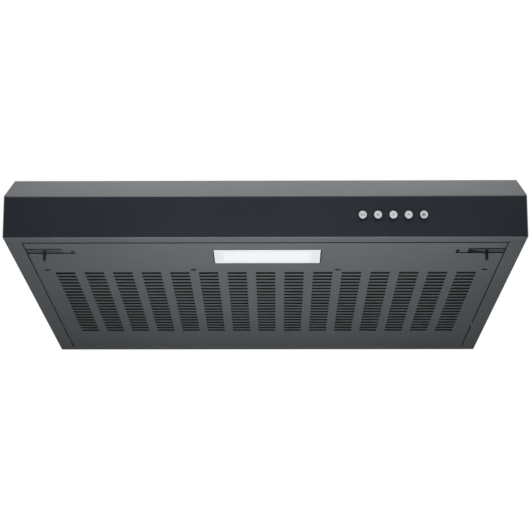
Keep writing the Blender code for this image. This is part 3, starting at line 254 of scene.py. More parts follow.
def revolved(profile: list[Pair], segments: int, closed: bool = False) -> Shape:
    """A profile of (radius, height) points turned about Z: x = r cos a, y = r sin a, z = h.

    Args:
        profile: Points of the outline. An open one starts and ends on the axis.
        segments: Number of steps in the turn.
        closed: Whether the profile's last point joins its first, as round a ring.

    Returns:
        The turned surface.
    """
    line = np.array(profile, float)
    angle = np.arange(segments) * 2 * math.pi / segments
    radius, height = line[:, :1], np.broadcast_to(line[:, 1:], (len(line), segments))
    grid = np.stack([radius * np.cos(angle), radius * np.sin(angle), height], axis=-1)
    return Shape(grid.reshape(-1, 3), grid_quads(len(line), segments, closed, True))


def prism(outline: Array, low: float, high: float) -> Shape:
    """An upright prism over a plane outline."""
    return stacked(outline, [(0.0, low), (0.0, high)])


def stacked(outline: Array, levels: list[Pair]) -> Shape:
    """Loops above each other, each the outline drawn in by an inset, with both ends filled.

    Args:
        outline: A closed plane loop that runs anticlockwise.
        levels: (inset, height) of each loop, where a negative inset draws it out.

    Returns:
        The closed shape.
    """
    count = len(outline)
    before, after = np.roll(outline, 1, axis=0), np.roll(outline, -1, axis=0)
    way_in, way_out = outline - before, after - outline
    way_in = way_in / np.linalg.norm(way_in, axis=1, keepdims=True)
    way_out = way_out / np.linalg.norm(way_out, axis=1, keepdims=True)
    inward = np.stack([-(way_in + way_out)[:, 1], (way_in + way_out)[:, 0]], axis=1) / 2
    inward = inward / (inward**2).sum(axis=1, keepdims=True)
    loops = [
        np.column_stack([outline + inward * inset, np.full(count, height)])
        for inset, height in levels
    ]
    last = (len(levels) - 1) * count
    caps = [list(range(count))[::-1], list(range(last, last + count))]
    return Shape(np.concatenate(loops), grid_quads(len(levels), count, round_columns=True), caps)


def four_fold(quarter: Array) -> Array:
    """A closed outline about zero from its anticlockwise first quarter."""
    mirrored = (quarter, quarter[::-1] * (-1, 1), quarter * -1, quarter[::-1] * (1, -1))
    return np.concatenate(mirrored)


def round_rectangle(
    x: float, y: float, half_x: float, half_y: float, radius: float, steps: int
) -> Array:
    """Anticlockwise outline of a rectangle about x and y, with steps pieces in a round corner."""
    corner = arc((half_x - radius, half_y - radius), radius, 0, 90, steps)
    return four_fold(np.array(corner)) + (x, y)


def ring_outline(x: float, y: float, radius: float, count: int) -> Array:
    """Anticlockwise circle of count points about x and y."""
    angle = np.arange(count) * 2 * math.pi / count
    return np.column_stack([x + radius * np.cos(angle), y + radius * np.sin(angle)])


def tube(path: Array, radius: float, sides: int) -> Shape:
    """A round bar along an open path: each point of the path carries a circle square to it.

    The circle's first direction is the cross product of the path's direction and one fixed
    direction: the one that the path follows least, the last right singular vector of its steps.

    Args:
        path: Points along the middle.
        radius: Radius of the bar.
        sides: Number of its sides.

    Returns:
        The closed bar.
    """
    ways = np.roll(path, -1, axis=0) - np.roll(path, 1, axis=0)
    ways[0], ways[-1] = path[1] - path[0], path[-1] - path[-2]
    ways = ways / np.linalg.norm(ways, axis=1, keepdims=True)
    fixed = np.linalg.svd(ways, full_matrices=False)[2][-1]
    first = np.cross(ways, fixed)
    first = first / np.linalg.norm(first, axis=1, keepdims=True)
    second = np.cross(ways, first)
    angle = np.arange(sides) * 2 * math.pi / sides
    circle = first[:, None] * np.cos(angle)[:, None] + second[:, None] * np.sin(angle)[:, None]
    points = (path[:, None] + radius * circle).reshape(-1, 3)
    last = len(points) - sides
    caps = [list(range(sides))[::-1], list(range(last, last + sides))]
    return Shape(points, grid_quads(len(path), sides, round_columns=True), caps)


# ---------------------------------------------------------------------------------------------
# Objects
# ---------------------------------------------------------------------------------------------


def mesh_object(name: str, shape: Shape) -> bpy.types.Object:
    """A new object at the origin with the shape's mesh, doubles merged and faces outwards.

    Args:
        name: Name of the object.
        shape: Its shape.

    Returns:
        The object.
    """
    mesh = bpy.data.meshes.new(name)
    mesh.from_pydata(shape.points.tolist(), [], shape.quads.tolist() + shape.caps)
    work = bmesh.new()
    work.from_mesh(mesh)
    bmesh.ops.remove_doubles(work, verts=work.verts, dist=MERGE)
    bmesh.ops.recalc_face_normals(work, faces=work.faces)
    work.to_mesh(mesh)
    work.free()
    obj = bpy.data.objects.new(name, mesh)
    bpy.context.scene.collection.objects.link(obj)
    return obj


def cut_away(obj: bpy.types.Object, cutter: Shape) -> None:
    """Takes the cutter's solids out of an object, for good.

    Args:
        obj: The object.
        cutter: Closed solids.
    """
    tool = mesh_object(obj.name + "_cutter", cutter)
    modifier = obj.modifiers.new("cut", "BOOLEAN")
    modifier.operation = "DIFFERENCE"
    modifier.solver = "MANIFOLD"
    modifier.object = tool
    graph = bpy.context.evaluated_depsgraph_get()
    mesh = bpy.data.meshes.new_from_object(obj.evaluated_get(graph))
    obj.modifiers.clear()
    old = obj.data
    obj.data = mesh
    mesh.name = obj.name
    bpy.data.meshes.remove(old)
    blade = tool.data
    bpy.data.objects.remove(tool)
    bpy.data.meshes.remove(blade)


def refined(node: str, name: str, edge: float) -> bpy.types.Object:
    """A copy of a CAD node with its triangles merged into whole faces and its edges rounded.

    Args:
        node: The CAD node.
        name: Name of the new piece.
        edge: Width of the rounding along its sharp edges.

    Returns:
        The new object, at the origin.
    """
    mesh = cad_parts[node].data.copy()
    mesh.name = name
    mesh.materials.clear()
    work = bmesh.new()
    work.from_mesh(mesh)
    bmesh.ops.remove_doubles(work, verts=work.verts, dist=MERGE)
    bmesh.ops.dissolve_limit(work, angle_limit=FLAT, verts=work.verts, edges=work.edges)
    work.to_mesh(mesh)
    work.free()
    obj = bpy.data.objects.new(name, mesh)
    bpy.context.scene.collection.objects.link(obj)
    if edge:
        bevel = obj.modifiers.new("edges", "BEVEL")
        bevel.width = edge
        bevel.segments = 2
        bevel.limit_method = "ANGLE"
        bevel.angle_limit = math.radians(40)
    return obj


def paint_faces(obj: bpy.types.Object, finish: "Finish", chosen: Array) -> None:
    """Gives some of a piece's faces a second finish.

    Args:
        obj: The piece, already settled.
        finish: The second finish.
        chosen: One true or false for each face.
    """
    obj.data.materials.append(finish.material())
    obj.data.polygons.foreach_set("material_index", chosen.astype(np.int32))
    obj.data.update()


def of_faces(obj: bpy.types.Object, value: str) -> Array:
    """A vector of each face, such as its center or its normal, as rows of three.

    Args:
        obj: The object.
        value: Name of the value.

    Returns:
        One row for each face.
    """
    found = np.empty(3 * len(obj.data.polygons))
    obj.data.polygons.foreach_get(value, found)
    return found.reshape(-1, 3)


def settle(obj: bpy.types.Object, finish: "Finish", body: str, *replaced: str) -> None:
    """Gives a piece its finish and its body, and hides the CAD nodes that it stands for.

    Args:
        obj: The piece, at the origin.
        finish: The finish that its whole surface takes.
        body: Name of the CAD body that it moves with.
        replaced: Names of the CAD nodes that it replaces.
    """
    obj.data.materials.clear()
    obj.data.materials.append(finish.material())
    obj.data.shade_smooth()
    obj.data.set_sharp_from_angle(angle=SMOOTH)
    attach(obj, body)
    if replaced:
        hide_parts(*replaced)
    log.info("%s: %d faces, %s", obj.name, len(obj.data.polygons), finish.name)


def dressed(
    node: str, name: str, edge: float, finish: "Finish", body: str = "housing"
) -> bpy.types.Object:
    """Puts a refined copy of a CAD node in its place.

    Args:
        node: The CAD node that the copy replaces.
        name: Name of the copy.
        edge: Width of the rounding along its sharp edges.
        finish: Its finish.
        body: The CAD body that it moves with.

    Returns:
        The copy.
    """
    obj = refined(node, name, edge)
    settle(obj, finish, body, node)
    return obj


# ---------------------------------------------------------------------------------------------
# Finishes
# ---------------------------------------------------------------------------------------------


class Tree:
    """A material's nodes, with short calls for the few kinds that the finishes use."""

    def __init__(self, name: str) -> None:
        """Makes the material with its Principled shader.

        Args:
            name: Name of the material.
        """
        self.material = bpy.data.materials.new(name)
        self.material.use_nodes = True
        self.nodes = self.material.node_tree.nodes
        self.links = self.material.node_tree.links
        self.shader = self.nodes["Principled BSDF"]

    def node(self, kind: str, inputs: dict | None = None, **settings: object) -> bpy.types.Node:
        """Adds a node.

        Args:
            kind: Its Blender type.
            inputs: Values or links for its sockets, by name or number.
            settings: Its own properties.

        Returns:
            The node.
        """
        made = self.nodes.new(kind)
        for key, value in settings.items():
            setattr(made, key, value)
        for key, value in (inputs or {}).items():
            if isinstance(value, bpy.types.NodeSocket):
                self.links.new(value, made.inputs[key])
            else:
                made.inputs[key].default_value = value
        return made

    def place(self, stretch: Triple = (1, 1, 1)) -> bpy.types.NodeSocket:
        """Object coordinates in metres, stretched along each axis."""
        inputs = {"Vector": self.node("ShaderNodeTexCoord").outputs["Object"], "Scale": stretch}
        return self.node("ShaderNodeMapping", inputs).outputs["Vector"]

    def noise(
        self, scale: float, detail: float = 2.0, stretch: Triple = (1, 1, 1)
    ) -> bpy.types.NodeSocket:
        """Noise from 0 to 1 with scale lumps in a metre."""
        inputs = {"Vector": self.place(stretch), "Scale": scale, "Detail": detail}
        return self.node("ShaderNodeTexNoise", inputs).outputs["Fac"]

    def cells(self, scale: float) -> bpy.types.NodeSocket:
        """One random value in each of the cells, scale of them in a metre."""
        found = self.node("ShaderNodeTexVoronoi", {"Vector": self.place(), "Scale": scale})
        return self.node("ShaderNodeSeparateColor", {"Color": found.outputs["Color"]}).outputs[0]

    def math(self, operation: str, first: object, second: object = 0.0) -> bpy.types.NodeSocket:
        """A sum, product or other operation on two values."""
        return self.node("ShaderNodeMath", {0: first, 1: second}, operation=operation).outputs[0]

    def between(self, value: bpy.types.NodeSocket, low: float, high: float) -> bpy.types.NodeSocket:
        """A value from 0 to 1 spread from low to high."""
        inputs = {"Value": value, "To Min": low, "To Max": high}
        return self.node("ShaderNodeMapRange", inputs).outputs[0]

    def shades(
        self, value: bpy.types.NodeSocket, dark: Triple, light: Triple
    ) -> bpy.types.NodeSocket:
        """A colour between dark, where the value is low, and light.

        Args:
            value: What picks the shade, from 0 to 1.
            dark: Colour at low values.
            light: Colour at high values.

        Returns:
            The colour.
        """
        ramp = self.node("ShaderNodeValToRGB", {"Fac": value})
        stops = ramp.color_ramp.elements
        stops[0].position, stops[1].position = 0.3, 0.7
        stops[0].color, stops[1].color = (*dark, 1), (*light, 1)
        return ramp.outputs["Color"]

    def bump(self, height: bpy.types.NodeSocket, depth: float, strength: float = 1.0) -> None:
        """Raises the surface by up to depth metres where the height is 1.

        Args:
            height: Relief from 0 to 1.
            depth: Height of the relief in metres.
            strength: Share of the effect.
        """
        inputs = {"Height": height, "Distance": depth, "Strength": strength}
        if self.shader.inputs["Normal"].is_linked:
            inputs["Normal"] = self.shader.inputs["Normal"].links[0].from_socket
        made = self.node("ShaderNodeBump", inputs)
        self.links.new(made.outputs["Normal"], self.shader.inputs["Normal"])

    def feed(self, socket: str, value: object) -> None:
        """Links or sets one of the shader's inputs."""
        if isinstance(value, bpy.types.NodeSocket):
            self.links.new(value, self.shader.inputs[socket])
        else:
            self.shader.inputs[socket].default_value = value


_made: dict[str, bpy.types.Material] = {}


@dataclass(frozen=True)
class Finish:
    """A finish of one colour.

    Attributes:
        name: Name of the material.
        slot: The record's material slot that it belongs to; not used by this script.
        colour: Middle colour, linear.
        roughness: Middle roughness.
        metallic: How metallic it is, from 0 to 1.
        variation: How far the colour goes to either side, as a share.
    """

    name: str
    slot: str
    colour: Triple
    roughness: float = 0.5
    metallic: float = 0.0
    variation: float = 0.05

    def material(self) -> bpy.types.Material:
        """The finish's material, made the first time that it is asked for."""
        if self.name not in _made:
            tree = Tree(self.name)
            tree.feed("Metallic", self.metallic)
            tree.feed("Roughness", self.roughness)
            self.dress(tree)
            _made[self.name] = tree.material
        return _made[self.name]

    def toned(self, tree: Tree, value: bpy.types.NodeSocket) -> None:
        """Spreads the colour from darker to lighter with a value.

        Args:
            tree: Its nodes.
            value: What picks the shade.
        """
        dark = tuple(part * (1 - self.variation) for part in self.colour)
        light = tuple(part * (1 + self.variation) for part in self.colour)
        tree.feed("Base Color", tree.shades(value, dark, light))

    def glossed(self, tree: Tree, value: bpy.types.NodeSocket, below: float, above: float) -> None:
        """Spreads the roughness over a range round its middle with a value."""
        spread = tree.between(value, self.roughness - below, self.roughness + above)
        tree.feed("Roughness", spread)

    def dress(self, tree: Tree) -> None:
        """Adds the finish's own nodes."""
        self.toned(tree, tree.noise(9.0))


@dataclass(frozen=True)
class PowderCoat(Finish):
    """Baked powder: a fine orange peel, soft clouds of tone and small changes of gloss.

    Attributes:
        peel: Height of the orange peel.
        specular: Strength of its gloss.
    """

    peel: float = 0.000022
    specular: float = 0.22

    def dress(self, tree: Tree) -> None:
        """Clouds, gloss and peel.

        Args:
            tree: Its nodes.
        """
        tree.feed("Specular IOR Level", self.specular)
        self.toned(tree, tree.noise(7.0, 3.0))
        self.glossed(tree, tree.noise(60.0, 3.0), 0.05, 0.05)
        tree.bump(tree.noise(820.0, 1.0), self.peel, 0.6)


@dataclass(frozen=True)
class Zinc(Finish):
    """Galvanised sheet: crystals of different brightness under fine rolling lines.

    Attributes:
        spangle: Number of crystals in a metre.
    """

    spangle: float = 170.0

    def dress(self, tree: Tree) -> None:
        """Crystals, lines and stains.

        Args:
            tree: Its nodes.
        """
        crystals = tree.math("MULTIPLY", tree.cells(self.spangle), 0.6)
        stains = tree.math("MULTIPLY", tree.noise(14.0, 4.0), 0.5)
        self.toned(tree, tree.math("ADD", crystals, stains))
        self.glossed(tree, tree.cells(self.spangle), 0.09, 0.09)
        tree.bump(tree.noise(1500.0, 2.0, (0.03, 1.0, 1.0)), 0.000012, 0.5)


@dataclass(frozen=True)
class BrightSteel(Finish):
    """Bright turned or drawn steel with lines round it."""

    def dress(self, tree: Tree) -> None:
        """Fine lines and gloss.

        Args:
            tree: Its nodes.
        """
        lines = tree.noise(2600.0, 2.0, (0.25, 0.25, 1.0))
        self.toned(tree, lines)
        self.glossed(tree, lines, 0.06, 0.10)
        tree.bump(lines, 0.000008, 0.5)


@dataclass(frozen=True)
class Chrome(Finish):
    """Bright plating with a breath of smear on it."""

    def dress(self, tree: Tree) -> None:
        """Smears in the gloss and the tone.

        Args:
            tree: Its nodes.
        """
        smear = tree.noise(330.0, 3.0)
        self.toned(tree, smear)
        self.glossed(tree, smear, 0.04, 0.09)


@dataclass(frozen=True)
class Moulded(Finish):
    """Moulded plastic or rubber with a spark eroded grain.

    Attributes:
        grain: Height of the grain.
    """

    grain: float = 0.00003

    def dress(self, tree: Tree) -> None:
        """Grain, tone and gloss.

        Args:
            tree: Its nodes.
        """
        self.toned(tree, tree.noise(22.0, 3.0))
        self.glossed(tree, tree.noise(240.0, 2.0), 0.06, 0.06)
        tree.bump(tree.noise(2300.0, 1.0), self.grain, 0.7)


@dataclass(frozen=True)
class Frosted(Finish):
    """Frosted lamp cover, a little brighter over the light board behind it.

    Attributes:
        centre: X and Y of the bright patch's middle.
        reach: Half of the patch's width and depth.
        glow: Strength of the light in it.
    """

    centre: Pair = (0.0, 0.0)
    reach: Pair = (0.069, 0.0175)
    glow: float = 0.66

    def dress(self, tree: Tree) -> None:
        """The lit patch: one inside the reach, and falling to nothing over its last tenth.

        Args:
            tree: Its nodes.
        """
        self.toned(tree, tree.noise(40.0, 2.0))
        place = tree.node("ShaderNodeSeparateXYZ", {"Vector": tree.place()})
        patch: bpy.types.NodeSocket | None = None
        for axis, middle, reach in zip(("X", "Y"), self.centre, self.reach):
            away = tree.math("ABSOLUTE", tree.math("SUBTRACT", place.outputs[axis], middle))
            inputs = {"Value": away, "From Min": 0.86 * reach, "From Max": reach}
            inputs |= {"To Min": 1.0, "To Max": 0.0}
            fall = tree.node("ShaderNodeMapRange", inputs, interpolation_type="SMOOTHSTEP")
            near = fall.outputs[0]
            patch = near if patch is None else tree.math("MULTIPLY", patch, near)
        tree.feed("Emission Color", (0.98, 0.99, 1.0, 1.0))
        tree.feed("Emission Strength", tree.between(patch, 0.84 * self.glow, self.glow))
        tree.bump(tree.noise(1900.0, 1.0), 0.00002, 0.5)


@dataclass(frozen=True)
class Fleece(Finish):
    """Needled fleece: long fibres that cross each other in two directions."""

    def dress(self, tree: Tree) -> None:
        """Fibres and lumps.

        Args:
            tree: Its nodes.
        """
        one = tree.noise(900.0, 4.0, (1.0, 0.12, 0.4))
        other = tree.noise(900.0, 4.0, (0.12, 1.0, 0.4))
        fibres = tree.math("MAXIMUM", one, other)
        self.toned(tree, fibres)
        tree.bump(fibres, 0.0004, 1.0)
        tree.bump(tree.noise(90.0, 2.0), 0.0006, 0.6)


@dataclass(frozen=True)
class BoardMask(Finish):
    """Solder mask over copper: the tracks show through as soft bands."""

    def dress(self, tree: Tree) -> None:
        """Tracks and gloss.

        Args:
            tree: Its nodes.
        """
        inputs = {"Vector": tree.place(), "Scale": 140.0, "Distortion": 1.5}
        tracks = tree.node("ShaderNodeTexWave", inputs).outputs["Fac"]
        self.toned(tree, tracks)
        tree.bump(tracks, 0.00003, 0.4)


BODY_PAINT = PowderCoat("body paint", "painted_steel", (0.150, 0.161, 0.170), 0.48, 0.0, 0.045)
FASCIA_PAINT = PowderCoat(
    "fascia paint", "fascia_paint", (0.0174, 0.0198, 0.0272), 0.42, 0.0, 0.05,
    peel=0.000014, specular=0.15,
)
ZINC = Zinc("galvanised sheet", "galvanised_steel", (0.40, 0.41, 0.42), 0.44, 0.55, 0.16)
LATCH_ZINC = Zinc(
    "latch zinc", "galvanised_steel", (0.105, 0.112, 0.124), 0.50, 0.2, 0.10, spangle=260.0
)
# Painted shade: the mat wires take a near-black steel so that their hooks in the notches read as
# shade.
SPRING_WIRE = BrightSteel("spring wire", "bright_steel", (0.055, 0.055, 0.058), 0.40, 0.6, 0.10)
STEEL = BrightSteel("bright steel", "bright_steel", (0.60, 0.60, 0.61), 0.26, 1.0, 0.06)
CHROME = Chrome("button chrome", "chrome", (0.60, 0.60, 0.62), 0.34, 0.25, 0.05)
MOTOR_STEEL = Zinc("motor steel", "motor_steel", (0.28, 0.28, 0.29), 0.45, 0.8, 0.08, spangle=600.0)
BLACK = Moulded("black plastic", "black_plastic", (0.011, 0.011, 0.013), 0.52, 0.0, 0.08)
GREY = Moulded("grey plastic", "grey_plastic", (0.27, 0.27, 0.28), 0.55, 0.0, 0.05)
# Painted shade: a near-black copy of the body paint that stands for the shade in the grille's slots
# and along its front edge.
SLOT_SHADE = PowderCoat(
    "painted slot shade", "painted_steel", (0.0035, 0.0037, 0.0045), 0.80, 0.0, 0.10, specular=0.02
)
# Near-black fleece: partly the mat's own dark colour, partly painted shade for the inside of the
# slots.
FLEECE = Fleece("filter fleece", "filter_fleece", (0.0024, 0.0022, 0.0024), 0.95, 0.0, 0.35)
SHEATH = Moulded("cable sheath", "cable_sheath", (0.50, 0.50, 0.51), 0.50, 0.0, 0.04, grain=0.00001)
RUBBER = Moulded("rubber", "rubber", (0.018, 0.018, 0.018), 0.78, 0.0, 0.10)
BOARD = BoardMask("circuit board", "circuit_board", (0.70, 0.73, 0.68), 0.42, 0.0, 0.08)
INK = Moulded("button ink", "chrome", (0.050, 0.051, 0.055), 0.45, 0.0, 0.08, grain=0.00001)


# ---------------------------------------------------------------------------------------------
# Housing
# ---------------------------------------------------------------------------------------------


@dataclass
class Housing:
    """Folded sheets of the body: two sides, the top with its sloped band, the back and the fascia.

    Attributes:
        rise: Height of the fascia.
        lean: Angle of the fascia forward of upright.
        slope: Angle of the band above the fascia.
        bend: Outer radius of a fold.
        front_flange: Depth of the flange under the fascia.
        front_lip: Height of that flange's upturned edge.
        rear_flange: Depth of the flange under the back.
        side_flange: Width of the flange under each side.
        downturn: Height of the top's turned down rear edge.
        lap: How far the fascia's head reaches under the band.
        keyhole_span: Distance of the keyholes from the middle.
        keyhole_front: Distance of the front pair from the front.
        keyhole_back: Distance of the rear pair from the back.
        keyhole_head: Radius of a keyhole's head.
        keyhole_slot: Half width of its slot.
        keyhole_length: How far the slot reaches from the head's middle.
        grommet_hole: Radius of the cable grommet's hole.
        button_gap: Gap round a button.
    """

    rise: float = 0.0588
    lean: float = math.radians(15)
    slope: float = math.radians(45)
    bend: float = 0.0018
    front_flange: float = 0.0175
    front_lip: float = 0.0075
    rear_flange: float = 0.0177
    side_flange: float = 0.0237
    downturn: float = 0.012
    lap: float = 0.014
    keyhole_span: float = 0.300
    keyhole_front: float = 0.080
    keyhole_back: float = 0.060
    keyhole_head: float = 0.0055
    keyhole_slot: float = 0.0030
    keyhole_length: float = 0.014
    grommet_hole: float = 0.009
    button_gap: float = 0.0007

    def __post_init__(self) -> None:
        """Reads the body's extents from the frame."""
        low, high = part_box("side_panel_right")
        self.half = high.x
        self.back = high.y
        self.bottom = low.z
        self.front = low.y + self.rise * math.tan(self.lean)
        self.nose = np.array([low.y, self.bottom + self.rise])
        self.band_way = np.array([math.cos(self.slope), math.sin(self.slope)])
        self.head = self.nose + self.band_way * (-self.nose[1] / math.sin(self.slope))
        self.inner = self.half - SHEET - GAP

    def build(self) -> None:
        """Makes all five sheets."""
        self.sides()
        self.top()
        self.rear()
        self.fascia()

    def sides(self) -> None:
        """Side walls. Each is ruled between its bottom fold and its upper outline.

        At a station u the section runs along the flange, round a quarter arc and up the wall to the
        upper outline: (1 - v) times the fold's end plus v times the outline's point.
        """
        lower = np.array([self.front, self.head[0], self.back])
        upper = np.array([self.nose, self.head, [self.back, 0.0]])
        turn = np.linspace(0, math.pi / 2, 7)
        flange = self.half - self.side_flange

        def surface(radius: float, shift: float) -> Array:
            """Outer surface at shift 0, and the inner one at the sheet's thickness.

            Args:
                radius: Radius of the fold's arc.
                shift: How far the surface lies inside the outer one.

            Returns:
                Stations by section points by 3.
            """
            centre = self.half - self.bend
            xs = np.concatenate([[flange], centre + radius * np.sin(turn), [self.half - shift]])
            rise = self.bend - radius * np.cos(turn)
            zs = self.bottom + np.concatenate([[shift], rise])
            grid = np.empty((3, len(xs), 3))
            grid[:, :, 0] = xs
            grid[:, :-1, 1] = lower[:, None]
            grid[:, :-1, 2] = zs
            grid[:, -1, 1:] = upper
            return grid

        outer, inner = surface(self.bend, 0.0), surface(self.bend - SHEET, SHEET)
        for side, word in SIDES:
            mirror = np.array([side, 1, 1])
            wall = mesh_object(f"side_wall_{word}", shell(outer * mirror, inner * mirror))
            ends = (
                (self.front - SHEET, self.front + self.front_flange + GAP),
                (self.back - self.rear_flange - GAP, self.back + SHEET),
            )
            x = side * (flange + self.half - SHEET - GAP) / 2
            reach = (self.side_flange - SHEET - GAP) / 2 + GAP / 2
            for first, last in ends:
                middle, half = (first + last) / 2, (last - first) / 2
                outline = round_rectangle(x, middle, reach, half, SHEET / 8, 1)
                cut_away(wall, prism(outline, self.bottom - SHEET, self.bottom + self.bend))
            settle(wall, BODY_PAINT, "housing", f"side_panel_{word}")

    def top(self) -> None:
        """Top sheet: the band, the flat with its holes and the turned down rear edge."""
        rear = self.back - SHEET - GAP
        corners = [tuple(self.nose), tuple(self.head), (rear, 0.0), (rear, -self.downturn)]
        line = bent_profile(corners, [2 * self.bend, self.bend])
        sheet = mesh_object("top_sheet", along_x(line, -self.inner, self.inner))
        duct, grommet = middle_of(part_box("duct_collar")), middle_of(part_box("cable_grommet"))
        holes = [
            ring_outline(0.0, duct.y, Duct.radius, 96),
            ring_outline(grommet.x, grommet.y, self.grommet_hole, 32),
        ]
        for side in (-1, 1):
            for y in (self.front + self.keyhole_front, self.back - self.keyhole_back):
                holes.append(self.keyhole(side * self.keyhole_span, y))
        cut_away(sheet, joined([prism(hole, -2 * SHEET, SHEET) for hole in holes]))
        settle(sheet, BODY_PAINT, "housing", "top_panel")

    def keyhole(self, x: float, y: float) -> Array:
        """Outline of a keyhole: a circle whose back opens into a slot with a round end.

        Args:
            x: X of the head's middle.
            y: Y of the head's middle.

        Returns:
            Points of the outline.
        """
        start = math.asin(self.keyhole_slot / self.keyhole_head)
        head = np.linspace(math.pi / 2 + start, 5 * math.pi / 2 - start, 25)
        tail = np.linspace(0, math.pi, 9)
        head_points = self.keyhole_head * np.column_stack([np.cos(head), np.sin(head)])
        end = self.keyhole_length - self.keyhole_slot
        tail_points = self.keyhole_slot * np.column_stack([np.cos(tail), np.sin(tail)]) + (0, end)
        return np.concatenate([head_points, tail_points]) + (x, y)

    def rear(self) -> None:
        """Back sheet with its bottom flange."""
        flange_end = (self.back - self.rear_flange, self.bottom)
        line = bent_profile([(self.back, 0.0), (self.back, self.bottom), flange_end], [self.bend])
        sheet = mesh_object("back_sheet", along_x(line, -self.inner, self.inner))
        settle(sheet, BODY_PAINT, "housing", "back_panel")

    def fascia(self) -> None:
        """Leaning fascia, folded under at its foot and back under the band at its head."""
        up = np.array([-math.sin(self.lean), math.cos(self.lean)])
        out = np.array([-self.band_way[1], self.band_way[0]])
        nose = self.nose - up * ((SHEET + GAP) / (up @ out))
        flange_end = self.front + self.front_flange
        corners = [
            (flange_end, self.bottom + self.front_lip),
            (flange_end, self.bottom),
            (self.front, self.bottom),
            tuple(nose),
            tuple(nose + self.band_way * self.lap),
        ]
        line = bent_profile(corners, [SHEET * 1.2, self.bend, self.bend])
        panel = mesh_object("fascia", along_x(line, -self.inner, self.inner))
        row = ButtonRow()
        outline = ring_outline(0.0, 0.0, row.radius + self.button_gap, 48)
        holes = [prism(outline, -4 * SHEET, 4 * SHEET).placed(row.frame(key)) for key in Key]
        cut_away(panel, joined(holes))
        settle(panel, FASCIA_PAINT, "housing", "front_panel")
        low = of_faces(panel, "center")[:, 2] < self.bottom + 0.3 * self.bend
        paint_faces(panel, BODY_PAINT, low)


# ---------------------------------------------------------------------------------------------
# Push buttons and switch block
# ---------------------------------------------------------------------------------------------


class Key(Enum):
    """The push buttons from left to right."""

    HIGH = "high"
    MEDIUM = "medium"
    LOW = "low"
    OFF = "off"
    LIGHT = "light"


